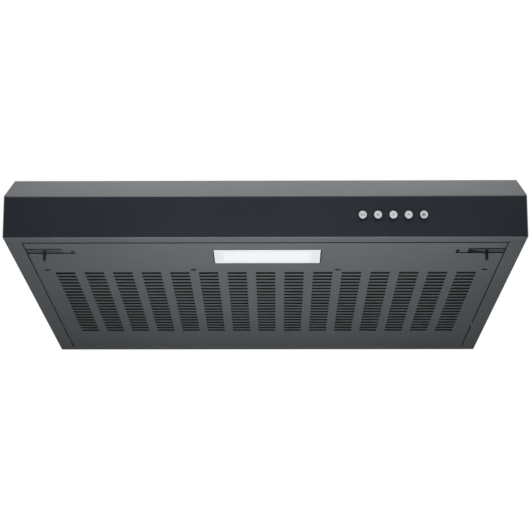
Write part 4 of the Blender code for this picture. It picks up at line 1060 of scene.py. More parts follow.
@dataclass
class ButtonRow:
    """Five plated push buttons with inked marks, the block that they press and its bracket.

    Attributes:
        radius: Radius of a button.
        proud: How far its crown stands out of the fascia.
        lean: Angle of the fascia forward of upright.
        foot: Depth of the fascia's foot.
        node_edge: Chamfer of the CAD button's crown.
        edge: Radius of the crown's edge.
        dish: Depth of the hollow in its crown.
        dish_radius: Radius of the hollow.
        cap_radius: Radius of the plated cap; outside it the crown is painted black as the shade
            round the button.
        stop_radius: Radius of the shoulder behind the fascia.
        stop_face: Depth of the shoulder's face.
        stop_back: Depth of its back.
        stem_radius: Radius of the stem.
        stem_end: Depth of its end.
        mark_width: Width of a mark's strokes.
        mark_length: Length of its strokes.
        mark_rise: How far the ink stands on the crown.
    """

    radius: float = 0.0064
    proud: float = 0.0040
    lean: float = math.radians(15)
    foot: float = -0.240
    node_edge: float = 0.0008
    edge: float = 0.0009
    dish: float = 0.00025
    dish_radius: float = 0.0049
    cap_radius: float = 0.0056
    stop_radius: float = 0.0082
    stop_face: float = -0.0013
    stop_back: float = -0.0030
    stem_radius: float = 0.0025
    stem_end: float = -0.0138
    mark_width: float = 0.00070
    mark_length: float = 0.0042
    mark_rise: float = 0.00005

    def frame(self, key: Key) -> Matrix:
        """A button's own axes: Z out of the fascia, Y up it, with the origin on its face.

        Args:
            key: The button.

        Returns:
            The matrix from its axes to the frame.
        """
        low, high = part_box(f"button_{key.value}")
        lean = self.lean
        out = Vector((0.0, -math.cos(lean), -math.sin(lean)))
        up = Vector((0.0, -math.sin(lean), math.cos(lean)))
        across = up.cross(out)
        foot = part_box("side_panel_right")[0].z
        drop = (self.radius - self.node_edge) * math.sin(lean)
        front = low.y + drop + self.proud * math.cos(lean)
        height = foot + (self.foot - front) / math.tan(lean)
        turn = Matrix((across, up, out)).transposed().to_4x4()
        return Matrix.Translation(((low.x + high.x) / 2, front, height)) @ turn

    def crown_profile(self) -> list[Pair]:
        """Half section of a button, from the middle of its dished crown to the end of its stem.

        The hollow's height over a radius r is the dish times (r / dish radius) squared, less one.

        Returns:
            Points of (radius, height).
        """
        share = np.linspace(0, 1, 6)
        hollow = [(self.dish_radius * s, self.proud - self.dish * (1 - s**2)) for s in share]
        rim = arc((self.radius - self.edge, self.proud - self.edge), self.edge, 90, 0, 5)
        stop = [
            (self.radius, self.stop_face),
            (self.stop_radius, self.stop_face),
            (self.stop_radius, self.stop_back),
        ]
        stem = [
            (self.stem_radius, self.stop_back),
            (self.stem_radius, self.stem_end + 0.0004),
            (self.stem_radius - 0.0004, self.stem_end),
            (0.0, self.stem_end),
        ]
        return hollow + rim + stop + stem

    def mark(self, key: Key) -> Shape:
        """The inked sign on a crown: bars for the speeds, a dash for off, a ring for the light.

        Args:
            key: The button.

        Returns:
            The sign in the button's axes.
        """
        half, width = self.mark_length / 2, self.mark_width / 2
        low, high = self.proud - 2 * self.dish, self.proud + self.mark_rise
        if key is Key.LIGHT:
            inner, outer = half - width, half + width
            ring = [(inner, low), (outer, low), (outer, high), (inner, high)]
            dot = prism(ring_outline(0.0, 0.0, 0.45 * half, 16), low, high)
            return revolved(ring, 32, closed=True) + dot
        if key is Key.OFF:
            return prism(round_rectangle(0.0, 0.0, half, width, 0.8 * width, 3), low, high)
        bars = {Key.LOW: (0,), Key.MEDIUM: (-0.5, 0.5), Key.HIGH: (-1, 0, 1)}[key]
        pitch = 3.2 * self.mark_width
        outlines = [round_rectangle(bar * pitch, 0.0, width, half, 0.8 * width, 3) for bar in bars]
        return joined([prism(outline, low, high) for outline in outlines])

    def build(self) -> None:
        """Makes the buttons, their marks, the block and its bracket."""
        for key in Key:
            place = self.frame(key)
            node = f"button_{key.value}"
            shape = revolved(self.crown_profile(), 64).placed(place)
            crown = mesh_object(f"push_button_{key.value}", shape)
            settle(crown, CHROME, node, node)
            # Painted shade: outside the cap radius, the crown's ring and side take the black
            # plastic finish, standing for the shade round each button.
            away = of_faces(crown, "center") - np.array(place.translation)
            own = away @ np.array(place.to_3x3())
            paint_faces(crown, BLACK, np.hypot(own[:, 0], own[:, 1]) > self.cap_radius)
            settle(mesh_object(f"button_mark_{key.value}", self.mark(key).placed(place)), INK, node)
        dressed("switch_block", "switch_body", 0.0006, BLACK)
        dressed("switch_bracket", "switch_strap", 0.0002, ZINC)


# ---------------------------------------------------------------------------------------------
# Grille
# ---------------------------------------------------------------------------------------------


@dataclass
class Grille:
    """Hinged slotted panel with its lamp lens, its latches, the filter mat and the mat's wires.

    Attributes:
        rim: Height of the upturned rim.
        bend: Outer radius of the rim's fold.
        slot: Length and width of a slot.
        pitch: Distance between slots along X and along Y.
        slot_corner: Radius of a slot's corners.
        lip: Width of the pressed edge round a slot.
        lip_depth: Depth of that edge.
        columns: Number of slots along X.
        rows: Number of slots along Y.
        first_row: Y of the front row.
        notch: Width and depth of a notch for a wire's hook.
        notch_corner: Radius of its corners.
        notch_x: Distances of the notches from the middle.
        notch_y: Y of the notches.
        pocket: Inner end and width of the slit that a latch bolt slides in.
        pocket_corner: Radius of its corners.
        pocket_front: Y of its front edge.
        hook: Length and width of the slit beside it.
        hook_rise: How far that slit's end turns to the front.
        hook_back: Y of its rear edge.
        pin_y: Y of the hinge.
        pin_z: Height of the hinge.
        pin_hole: Radius of the hinge pins' holes.
        rod_edge: Chamfer of the hinge pins.
        window: Width, depth and corner radius of the lens.
        window_centre: X and Y of its middle.
        lens_lip: Width of its lip above the sheet.
        lens_rim: Width of the rim round its face, which is painted dark as shade.
    """

    rim: float = 0.0065
    bend: float = 0.0016
    slot: Pair = (0.0298, 0.0076)
    pitch: Pair = (0.0438, 0.0125)
    columns: int = 15
    rows: int = 21
    first_row: float = -0.112
    slot_corner: float = 0.0009
    lip: float = 0.00020
    lip_depth: float = 0.00020
    notch: Pair = (0.0085, 0.0040)
    notch_x: Pair = (0.1095, 0.3320)
    notch_y: float = -0.1255
    pocket: Pair = (0.2963, 0.0175)
    pocket_front: float = -0.2025
    hook: Pair = (0.0175, 0.0032)
    hook_rise: float = 0.0120
    hook_back: float = -0.1855
    pin_y: float = 0.2093
    pin_z: float = -0.1080
    pin_hole: float = 0.0023
    window: Triple = (0.1590, 0.0485, 0.0040)
    window_centre: Pair = (0.0030, -0.1740)
    lens_lip: float = 0.0040
    lens_rim: float = 0.0012
    notch_corner: float = 0.0008
    pocket_corner: float = 0.0006
    rod_edge: float = 0.0004

    def __post_init__(self) -> None:
        """Reads the panel's extents."""
        self.low, self.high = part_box("grille_panel")

    def border_ring(self) -> Array:
        """The cell's own border with three points in a quarter, each beside one of the slot.

        Returns:
            Twelve points about zero.
        """
        half_x, half_y = self.pitch[0] / 2, self.pitch[1] / 2
        inner_x, inner_y = self.slot[0] / 2 - self.slot_corner, self.slot[1] / 2 - self.slot_corner
        return four_fold(np.array([(half_x, inner_y), (half_x, half_y), (inner_x, half_y)]))

    def slotted(self) -> Shape:
        """All cells: rings from the border down into the slot, through it and back out above.

        Returns:
            The slotted part of the sheet.
        """
        half_x, half_y = self.slot[0] / 2, self.slot[1] / 2
        border = self.border_ring()
        hole, lip = (
            round_rectangle(0, 0, half_x + out, half_y + out, self.slot_corner + out, 2)
            for out in (0.0, self.lip)
        )
        levels = ((border, 0.0), (lip, 0.0), (hole, self.lip_depth), (hole, SHEET), (border, SHEET))
        ring = np.stack([np.column_stack([loop, np.full(len(loop), z)]) for loop, z in levels])
        xs = (np.arange(self.columns) - (self.columns - 1) / 2) * self.pitch[0]
        ys = self.first_row + np.arange(self.rows) * self.pitch[1]
        places = np.stack(np.meshgrid(xs, ys, [0.0], indexing="ij"), axis=-1).reshape(-1, 1, 1, 3)
        points = (ring + places).reshape(-1, 3)
        faces = grid_quads(len(levels), len(hole), round_columns=True)
        starts = np.arange(len(places))[:, None, None] * len(levels) * len(hole)
        return Shape(points, (faces + starts).reshape(-1, 4))

    def lines(self) -> tuple[Array, Array]:
        """X and Y of the lines that cross the whole panel through the cells' border points.

        Returns:
            The X values and the Y values.
        """
        quarter = self.border_ring()[:3]
        across = np.unique(np.round(np.concatenate([quarter[:, 0], -quarter[:, 0]]), 9))
        along = np.unique(np.round(np.concatenate([quarter[:, 1], -quarter[:, 1]]), 9))
        xs = (np.arange(self.columns)[:, None] - (self.columns - 1) / 2) * self.pitch[0] + across
        ys = self.first_row + np.arange(self.rows)[:, None] * self.pitch[1] + along
        ends_x = (self.low.x + self.bend, self.high.x - self.bend)
        ends_y = (self.low.y + self.bend, self.high.y - self.bend)
        return (
            np.unique(np.round(np.concatenate([xs.ravel(), ends_x]), 7)),
            np.unique(np.round(np.concatenate([ys.ravel(), ends_y]), 7)),
        )

    def margins(self) -> Shape:
        """Flat sheet between the slots and the fold, below and above.

        Returns:
            Both faces of the margins.
        """
        xs, ys = self.lines()
        grid = np.stack(np.meshgrid(xs, ys, indexing="ij"), axis=-1).reshape(-1, 2)
        quads = grid_quads(len(xs), len(ys))
        middle = grid[quads].mean(axis=1)
        reach_x = self.columns * self.pitch[0] / 2
        front = self.first_row - self.pitch[1] / 2
        slotted = (np.abs(middle[:, 0]) < reach_x) & (middle[:, 1] > front)
        slotted &= middle[:, 1] < front + self.rows * self.pitch[1]
        quads = quads[~slotted]
        flat = [Shape(np.column_stack([grid, np.full(len(grid), z)]), quads) for z in (0.0, SHEET)]
        return flat[0] + flat[1]

    def fold(self) -> Shape:
        """The rim: a section of an arc, a wall and the way back, round the flat sheet's border.

        Returns:
            The rim, open along the sheet.
        """
        xs, ys = self.lines()
        low, high = (xs[0], ys[0]), (xs[-1], ys[-1])
        border = np.concatenate([
            np.column_stack([xs[:-1], np.full(len(xs) - 1, low[1])]),
            np.column_stack([np.full(len(ys) - 1, high[0]), ys[:-1]]),
            np.column_stack([xs[:0:-1], np.full(len(xs) - 1, high[1])]),
            np.column_stack([np.full(len(ys) - 1, low[0]), ys[:0:-1]]),
        ])
        way = np.column_stack([
            (border[:, 0] == high[0]).astype(float) - (border[:, 0] == low[0]),
            (border[:, 1] == high[1]).astype(float) - (border[:, 1] == low[1]),
        ])
        outer, inner = self.bend, self.bend - SHEET
        section = arc((0, outer), outer, -90, 0, 5)
        section += [(outer, self.rim), (inner, self.rim), *arc((0, outer), inner, 0, -90, 5)]
        count = len(border)
        loops = [np.column_stack([border + way * out, np.full(count, z)]) for out, z in section]
        return Shape(np.concatenate(loops), grid_quads(len(section), count, round_columns=True))

    def openings(self) -> Shape:
        """Solids for the window, the notches, the latch pockets and the hinge pins' holes.

        Returns:
            The solids to take away.
        """
        low, high = -SHEET, 2 * SHEET
        width, depth, radius = self.window
        half = (width / 2 + GAP, depth / 2 + GAP, radius + GAP)
        solids = [prism(round_rectangle(*self.window_centre, *half, 5), low, high)]
        inner, outer = self.pocket[0], self.high.x + SHEET
        across, along = (outer + inner) / 2, (outer - inner) / 2
        half_width = self.pocket[1] / 2
        middle = self.pocket_front + half_width
        start, end = inner - self.hook[0], inner + SHEET / 2
        bend = start + 1.6 * self.hook[1]
        back = self.hook_back
        neck, tip = back - self.hook[1], back - self.hook_rise
        hook = [(start, back), (start, tip), (bend, tip), (bend, neck), (end, neck), (end, back)]
        for side in (-1, 1):
            for x in self.notch_x:
                size = (self.notch[0] / 2, self.notch[1] / 2, self.notch_corner)
                solids.append(prism(round_rectangle(side * x, self.notch_y, *size, 3), low, high))
            pocket = (side * across, middle, along, half_width, self.pocket_corner)
            solids.append(prism(round_rectangle(*pocket, 3), low, 2 * self.rim))
            line = np.array(hook)[::side] * (side, 1)
            solids.append(prism(line, low - SHEET / 7, high + SHEET / 7))
            ends = (side * (self.high.x - 3 * SHEET), side * outer)
            path = np.array([(x, self.pin_y, self.pin_z - self.low.z) for x in ends])
            solids.append(tube(path, self.pin_hole, 24))
        return joined(solids)

    def panel(self) -> None:
        """The slotted sheet with its rim and its openings."""
        shape = self.slotted() + self.margins() + self.fold()
        plate = mesh_object("grille_plate", shape.moved(z=self.low.z))
        cut_away(plate, self.openings().moved(z=self.low.z))
        settle(plate, BODY_PAINT, "grille", "grille_panel")
        (x, y, _), (_, ahead, upright) = of_faces(plate, "center").T, of_faces(plate, "normal").T
        edge = 2 * self.bend
        behind = y > self.low.y + edge
        inside = behind & (np.abs(x) < self.high.x - edge) & (y < self.high.y - edge)
        # Painted shade: the slots' walls and the forward-facing faces along the front edge take the
        # near-black slot shade finish.
        paint_faces(plate, SLOT_SHADE, inside & (np.abs(upright) < 0.5) | ~behind & (ahead < -0.4))

    def lens(self) -> None:
        """Frosted cover: a lip above the sheet, a skirt through the window and a stepped face."""
        low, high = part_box("lamp_lens")
        width, depth, radius = self.window
        seat = self.low.z + SHEET + GAP
        outline = round_rectangle(*self.window_centre, width / 2, depth / 2, radius, 6)
        face = low.z
        lip = [(0.0022, high.z), (-self.lens_lip, high.z), (-self.lens_lip, seat)]
        skirt = [(0.0, seat), (0.0, face + 0.0008)]
        step = [(self.lens_rim, face + 0.0007), (0.0014, face + 0.0002), (0.0019, face)]
        groove = [(0.0026, face), (0.0028, face + 0.0004), (0.0034, face + 0.0004)]
        levels = lip + skirt + step + groove + [(0.0036, face + 0.0001)]
        cover = mesh_object("lamp_cover", stacked(outline, levels))
        colour = (0.30, 0.31, 0.32)
        centre = self.window_centre
        frosted = Frosted("frosted lens", "lamp_plastic", colour, 0.40, 0.0, 0.01, centre=centre)
        settle(cover, frosted, "grille", "lamp_lens")
        places = of_faces(cover, "center")
        away = (np.abs(places[:, :2] - centre) - (width / 2, depth / 2)).max(axis=1)
        # Painted shade: the skirt and the rim of the face next to the window's edge take the dark
        # rubber finish, standing for the shadow gap round the lens.
        rim = (places[:, 2] < seat + SHEET / 9) & (away > -self.lens_rim - 0.0001)
        paint_faces(cover, RUBBER, rim)

    def mat(self) -> None:
        """Fleece mat with a soft lie: its faces rise and fall by a few tenths of a millimetre.

        Each face is flat plus a sum of three slow sines of x and y, and its border is rounded in.
        """
        low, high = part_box("grease_filter")
        inset = 0.0006
        xs = np.linspace(low.x + inset, high.x - inset, 121)
        ys = np.linspace(low.y + inset, high.y - inset, 57)
        x, y = np.meshgrid(xs, ys, indexing="ij")
        waves = np.sin(61 * x + 13 * y) + np.sin(37 * y - 29 * x + 1.0) + np.sin(97 * x + 71 * y)
        swell = 0.00022 * waves
        edge = np.minimum.reduce([x - low.x, high.x - x, y - low.y, high.y - y])
        sink = 0.0012 * np.exp(-edge / 0.0012)
        upper = np.stack([x, y, high.z - 0.0007 + swell - sink], axis=-1)
        lower = np.stack([x, y, low.z + 0.0002 + np.abs(swell) / 3 + sink], axis=-1)
        mat = mesh_object("fleece_mat", shell(upper, lower))
        settle(mat, FLEECE, "grille", "grease_filter")

    def latches(self) -> None:
        """Sliding bolts with their fins and guides, the hinges and the wires over the mat."""
        for _, word in SIDES:
            names = (f"latch_bolt_{word}", f"latch_slide_{word}")
            bolt = dressed(*names, 0.0003, LATCH_ZINC, f"latch_{word}")
            # Painted shade: the fin below the sheet, the bolt's inner end and its forward-facing
            # faces take the black plastic finish, which stands for the shade on them.
            centre = of_faces(bolt, "center")
            dark = (centre[:, 2] < self.low.z - SHEET) | (np.abs(centre[:, 0]) < self.pocket[0])
            paint_faces(bolt, BLACK, dark | (of_faces(bolt, "normal")[:, 1] < -0.5))
            dressed(f"latch_guide_{word}", f"latch_keeper_{word}", 0.0002, ZINC, "grille")
            dressed(f"hinge_bracket_{word}", f"hinge_angle_{word}", 0.0002, ZINC)
            node = f"hinge_pin_{word}"
            low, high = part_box(f"hinge_pin_{word}")
            radius, edge = (high.z - low.z) / 2, self.rod_edge
            profile = [(0, low.x), (radius - edge, low.x), (radius, low.x + edge)]
            profile += [(radius, high.x - edge), (radius - edge, high.x), (0, high.x)]
            shape = revolved(profile, 32).placed(lying((low, high)))
            settle(mesh_object(f"hinge_rod_{word}", shape), STEEL, "housing", node)
            dressed(f"filter_wire_{word}", f"mat_wire_{word}", 0.0, SPRING_WIRE, "grille")

    def build(self) -> None:
        """Makes everything that swings with the grille, and its hinges."""
        self.panel()
        self.lens()
        self.mat()
        self.latches()
        dressed("lamp_tray", "lamp_box", 0.0003, ZINC)
        dressed("led_board", "lamp_board", 0.0002, BOARD)


# ---------------------------------------------------------------------------------------------
# Duct collar and damper
# ---------------------------------------------------------------------------------------------


@dataclass
class Duct:
    """Round collar on the top with its butterfly damper, its screws and the cable grommet.

    Attributes:
        radius: Outer radius of the tube.
        wall: Thickness of the tube.
        flange: Width of the flange.
        flange_thick: Its thickness.
        base: Height of its foot.
        curl: Radius of the bend between the tube and the flange.
        ledge_top: Top of the ledge that the flaps rest on.
        ledge_thick: Thickness of the ledge.
        ledge_width: How far it stands into the tube.
        pin_height: Height of the damper's axle.
        screw_head: Radius of a screw's head.
        screw_shank: Radius of its shank.
        head_height: Height of its head.
        recess: Half length and half width of an arm of the cross in it.
        axle_hole: Radius of the axle's hole.
        screw_hole: Radius of a screw's hole.
        grommet_neck: Radius of the groove in the grommet.
        grommet_bore: Radius of its bore.
    """

    radius: float = 0.060
    wall: float = 0.002
    flange: float = 0.016
    flange_thick: float = 0.002
    base: float = GAP
    curl: float = 0.0012
    ledge_top: float = 0.0074
    ledge_thick: float = 0.0020
    ledge_width: float = 0.003
    pin_height: float = 0.0083
    screw_head: float = 0.0037
    screw_shank: float = 0.0018
    head_height: float = 0.0022
    recess: Pair = (0.0021, 0.00045)
    axle_hole: float = 0.0018
    screw_hole: float = 0.0022
    grommet_neck: float = 0.0087
    grommet_bore: float = 0.0040

    def collar_profile(self) -> list[Pair]:
        """Section of the collar: rolled mouth, tube, round foot, flange and the damper's ledge.

        Returns:
            Points of (radius, height).
        """
        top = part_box("duct_collar")[1].z
        outer, inner = self.radius, self.radius - self.wall
        half = self.wall / 2
        mouth = arc((inner + half, top - half), half, 180, 0, 4)
        high = self.base + self.flange_thick
        foot = arc((outer + self.curl, high + self.curl), self.curl, 180, 270, 4)
        out = outer + self.flange
        rim = [(out - 0.0004, high), (out, high - 0.0004), (out, self.base), (inner, self.base)]
        under, edge = self.ledge_top - self.ledge_thick, inner - self.ledge_width
        ledge = [(inner, under), (edge, under), (edge, self.ledge_top), (inner, self.ledge_top)]
        return mouth + foot + rim + ledge

    def screw(self, name: str, node: str, up: int) -> None:
        """A pan head screw with a cross recess in place of a CAD one.

        Args:
            name: Name of the piece.
            node: The CAD screw.
            up: 1 where its head is above its shank and -1 where it hangs below.
        """
        low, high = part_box(node)
        height, head, shank = self.head_height, self.screw_head, self.screw_shank
        tip = height - (high.z - low.z)
        round_edge = arc((0.0, 0.0), 1.0, 90, 0, 6)[1:]
        crown = [(0.0, height), (0.62 * head, height)]
        crown += [(head * (0.62 + 0.38 * x), height * (0.35 + 0.65 * y)) for x, y in round_edge]
        stem = [(head, 0.0), (shank, 0.0), (shank, tip + 0.0005), (0.0012, tip), (0.0, tip)]
        middle = middle_of((low, high))
        level = high.z - height if up > 0 else low.z + height
        place = Matrix.Translation((middle.x, middle.y, level))
        if up < 0:
            place = place @ Matrix.Rotation(math.pi, 4, "X")
        made = mesh_object(name, revolved(crown + stem, 32).placed(place))
        for half in (self.recess, self.recess[::-1]):
            outline = round_rectangle(0, 0, *half, 0.0001, 1)
            cut_away(made, prism(outline, height - 0.0012, height + 0.001).placed(place))
        settle(made, STEEL, "housing", node)

    def build(self) -> None:
        """Makes the collar, the damper, the screws and the grommet."""
        low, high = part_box("duct_collar")
        y = (low.y + high.y) / 2
        shape = revolved(self.collar_profile(), 128, closed=True)
        collar = mesh_object("duct_ring", shape.moved(y=y))
        path = np.array([(end * self.radius, y, self.pin_height) for end in (-2, 2)])
        cut_away(collar, tube(path, self.axle_hole, 24))
        for number in range(1, 5):
            middle = middle_of(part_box(f"collar_screw_{number}"))
            outline = ring_outline(middle.x, middle.y, self.screw_hole, 24)
            cut_away(collar, prism(outline, -SHEET, 3 * SHEET))
        settle(collar, ZINC, "housing", "duct_collar")
        for word in ("front", "rear"):
            body = f"damper_{word}"
            dressed(f"damper_flap_{word}", f"damper_leaf_{word}", 0.00015, ZINC, body)
        dressed("damper_pin", "damper_axle", 0.0003, STEEL)
        for number in range(1, 5):
            self.screw(f"flange_screw_{number}", f"collar_screw_{number}", 1)
            self.screw(f"blower_screw_{number}", f"casing_screw_{number}", -1)
        self.grommet()

    def grommet(self) -> None:
        """Rubber grommet: two round lips with a groove between them for the sheet."""
        low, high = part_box("cable_grommet")
        middle = middle_of((low, high))
        neck, bore = self.grommet_neck, self.grommet_bore
        upper, lower = GAP, -SHEET - GAP
        lip = high.z - upper
        edge = high.x - middle.x - lip
        top = [*arc((edge, upper), lip, 90, 0, 5), (neck, upper)]
        bottom = [(neck, lower), *arc((edge, lower), lip, 0, -90, 5)]
        profile = [(bore, high.z), *top, *bottom, (bore, low.z)]
        shape = revolved(profile, 48, closed=True).moved(x=middle.x, y=middle.y)
        settle(mesh_object("cable_bush", shape), RUBBER, "housing", "cable_grommet")


# ---------------------------------------------------------------------------------------------
# Blower and electrics
# ---------------------------------------------------------------------------------------------


@dataclass
class Blower:
    """Centrifugal blower: its casing, the moulded guard, the impeller and the mounted motor.

    Attributes:
        blades: Number of blades.
        radius: Radius of the wheel.
        chord: Width of the ring of blades.
        blade: Thickness of a blade.
        camber: Rise of a blade's arc.
        pitch: Turn of a blade from the wheel's radius.
        motor_edge: Radius of the motor can's edges.
        disc_top: Height of the wheel's disc.
        hub_top: Height of the middle of its dish.
        hub_foot: Height of the boss's foot.
        dish: Radius of the dish.
        dish_edge: Radius of the dish's bends.
        hub_bore: Radius of the hole for the shaft in the boss.
        motor_bore: Radius of the hole for the shaft in the motor.
        bore_depth: Depth of that hole.
        wall: Thickness of the disc.
        ring_foot: Height of the end ring's foot.
    """

    blades: int = 20
    radius: float = 0.092
    chord: float = 0.016
    blade: float = 0.0012
    camber: float = 0.0022
    pitch: float = math.radians(35)
    motor_edge: float = 0.004
    disc_top: float = -0.0128
    hub_top: float = -0.0539
    hub_foot: float = -0.0639
    dish: float = 0.046
    dish_edge: float = 0.005
    hub_bore: float = 0.0043
    motor_bore: float = 0.0044
    bore_depth: float = 0.017
    wall: float = 0.0018
    ring_foot: float = -0.0683

    def build(self) -> None:
        """Makes each piece of the blower."""
        self.y = middle_of(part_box("impeller")).y
        dressed("blower_casing", "fan_scroll", 0.00025, ZINC)
        dressed("inlet_guard", "finger_guard", 0.0003, BLACK)
        self.wheel()
        dressed("impeller_nut", "wheel_nut", 0.0005, STEEL, "impeller")
        dressed("motor_shaft", "drive_shaft", 0.0003, STEEL, "impeller")
        self.motor()
        dressed("motor_plate", "motor_disc", 0.0003, ZINC)
        for number in range(1, 4):
            dressed(f"motor_bush_{number}", f"damping_bush_{number}", 0.0006, RUBBER)

    def hub_profile(self) -> list[Pair]:
        """Section of the wheel's disc, dished down round the motor to the boss on its shaft.

        Returns:
            Points of (radius, height).
        """
        top, crown, foot = self.disc_top, self.hub_top, self.hub_foot
        edge, wall, bore = self.dish_edge, self.wall, self.hub_bore
        low, high = (self.dish - edge, crown + edge), (self.dish + edge, top - edge)
        upper = [(bore, crown), *arc(low, edge, -90, 0, 4), *arc(high, edge, 180, 90, 4)]
        rim = self.radius
        outer = [(rim - 0.0005, top), (rim, top - 0.0005), (rim, top - wall)]
        back = arc(high, edge - wall, 90, 180, 4) + arc(low, edge + wall, 0, -90, 4)
        return upper + outer + back + [(0.0096, crown - wall), (0.0092, foot), (bore, foot)]

    def blade_shape(self) -> Shape:
        """One blade: over the chord's share u the camber is (1 - u squared) times the rise.

        The arc is turned by the pitch and stands at the wheel's edge. Its wall is half the blade's
        thickness to either side, thinned towards both ends by a quarter.

        Returns:
            The closed blade.
        """
        u = np.linspace(-1, 1, 11)
        along, rise = 0.45 * self.chord * u, self.camber * (1 - u**2) - self.camber / 2
        slope = np.arctan2(-2 * self.camber * u, 0.45 * self.chord)
        half = self.blade / 2 * (1 - 0.25 * u**2)
        cos, sin = math.cos(self.pitch), math.sin(self.pitch)
        heights = np.array([self.ring_foot + 0.001, self.disc_top - self.wall / 2])

        def face(side: int) -> Array:
            """The blade's wall on one side, as a grid.

            Args:
                side: 1 or -1.

            Returns:
                Points along the blade by its two ends by 3.
            """
            x, y = along - side * half * np.sin(slope), rise + side * half * np.cos(slope)
            x, y = x * cos - y * sin + self.radius - self.chord / 2, x * sin + y * cos
            grid = np.empty((len(u), 2, 3))
            grid[:, :, :2] = np.column_stack([x, y])[:, None]
            grid[:, :, 2] = heights
            return grid

        return shell(face(1), face(-1))

    def wheel(self) -> None:
        """The moulded wheel: its dished disc, a ring of forward curved blades and the end ring."""
        blade = self.blade_shape()
        angles = np.arange(self.blades) * 2 * math.pi / self.blades
        blades = [blade.placed(Matrix.Rotation(angle, 4, "Z")) for angle in angles]
        outer, inner = self.radius, self.radius - self.chord
        low, high = self.ring_foot, self.ring_foot + 0.0025
        ring = [(inner, high), (outer - 0.0004, high), (outer, high - 0.0004)]
        ring += [(outer, low), (inner, low)]
        turned = [revolved(section, 96, closed=True) for section in (self.hub_profile(), ring)]
        parts = [*turned, *blades]
        made = mesh_object("fan_wheel", joined(parts).moved(y=self.y))
        settle(made, BLACK, "impeller", "impeller")

    def motor(self) -> None:
        """Motor can with rolled edges, a groove round its middle and a pressed ring in its foot."""
        low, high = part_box("motor")
        radius, edge, bore = (high.x - low.x) / 2, self.motor_edge, self.motor_bore
        top = arc((radius - edge, high.z - edge), edge, 90, 0, 6)
        bottom = arc((radius - edge, low.z + edge), edge, 0, -90, 6)
        seam, floor = (low.z + high.z) / 2, radius - 0.0006
        belt = [(radius, 0.0016), (floor, 0.0010), (floor, -0.0010), (radius, -0.0016)]
        belt = [(out, seam + height) for out, height in belt]
        face = [(0.024, 0.0), (0.0235, 0.0012), (0.012, 0.0012), (0.0115, 0.0)]
        face += [(bore, 0.0), (bore, self.bore_depth), (0.0, self.bore_depth)]
        face = [(out, low.z + height) for out, height in face]
        profile = [(0.0, high.z), *top, *belt, *bottom, *face]
        made = mesh_object("motor_can", revolved(profile, 96).moved(y=self.y))
        settle(made, MOTOR_STEEL, "housing", "motor")


@dataclass(frozen=True)
class Lead:
    """A lead that runs in a smooth curve from one end to the other.

    Attributes:
        name: Its node.
        way: The places that it passes through.
        radius: Radius of its sheath.
    """

    name: str
    way: tuple[Triple, ...]
    radius: float = 0.0020

    def route(self, steps: int = 12) -> Array:
        """Points along the lead, whose first and last stretches are straight.

        From place b to place c, with a before them and d after them, the point at share t is half
        of 2b + (c - a)t + (2a - 5b + 4c - d)t^2 + (3b - a - 3c + d)t^3.

        Args:
            steps: Number of points from one place to the next.

        Returns:
            The points.
        """
        way = np.array(self.way)
        a, b, c, d = (way[first:len(way) - 3 + first, None] for first in range(4))
        t = np.linspace(0, 1, steps, endpoint=False)[:, None]
        curve = (c - a) * t + (2 * a - 5 * b + 4 * c - d) * t**2 + (3 * b - a - 3 * c + d) * t**3
        curve = b + curve / 2
        return np.concatenate([way[:1], curve.reshape(-1, 3), way[-2:]])

    def build(self) -> None:
        """Makes the lead."""
        made = mesh_object(f"{self.name}_wire", tube(self.route(), self.radius, 16))
        settle(made, SHEATH, "housing", self.name)


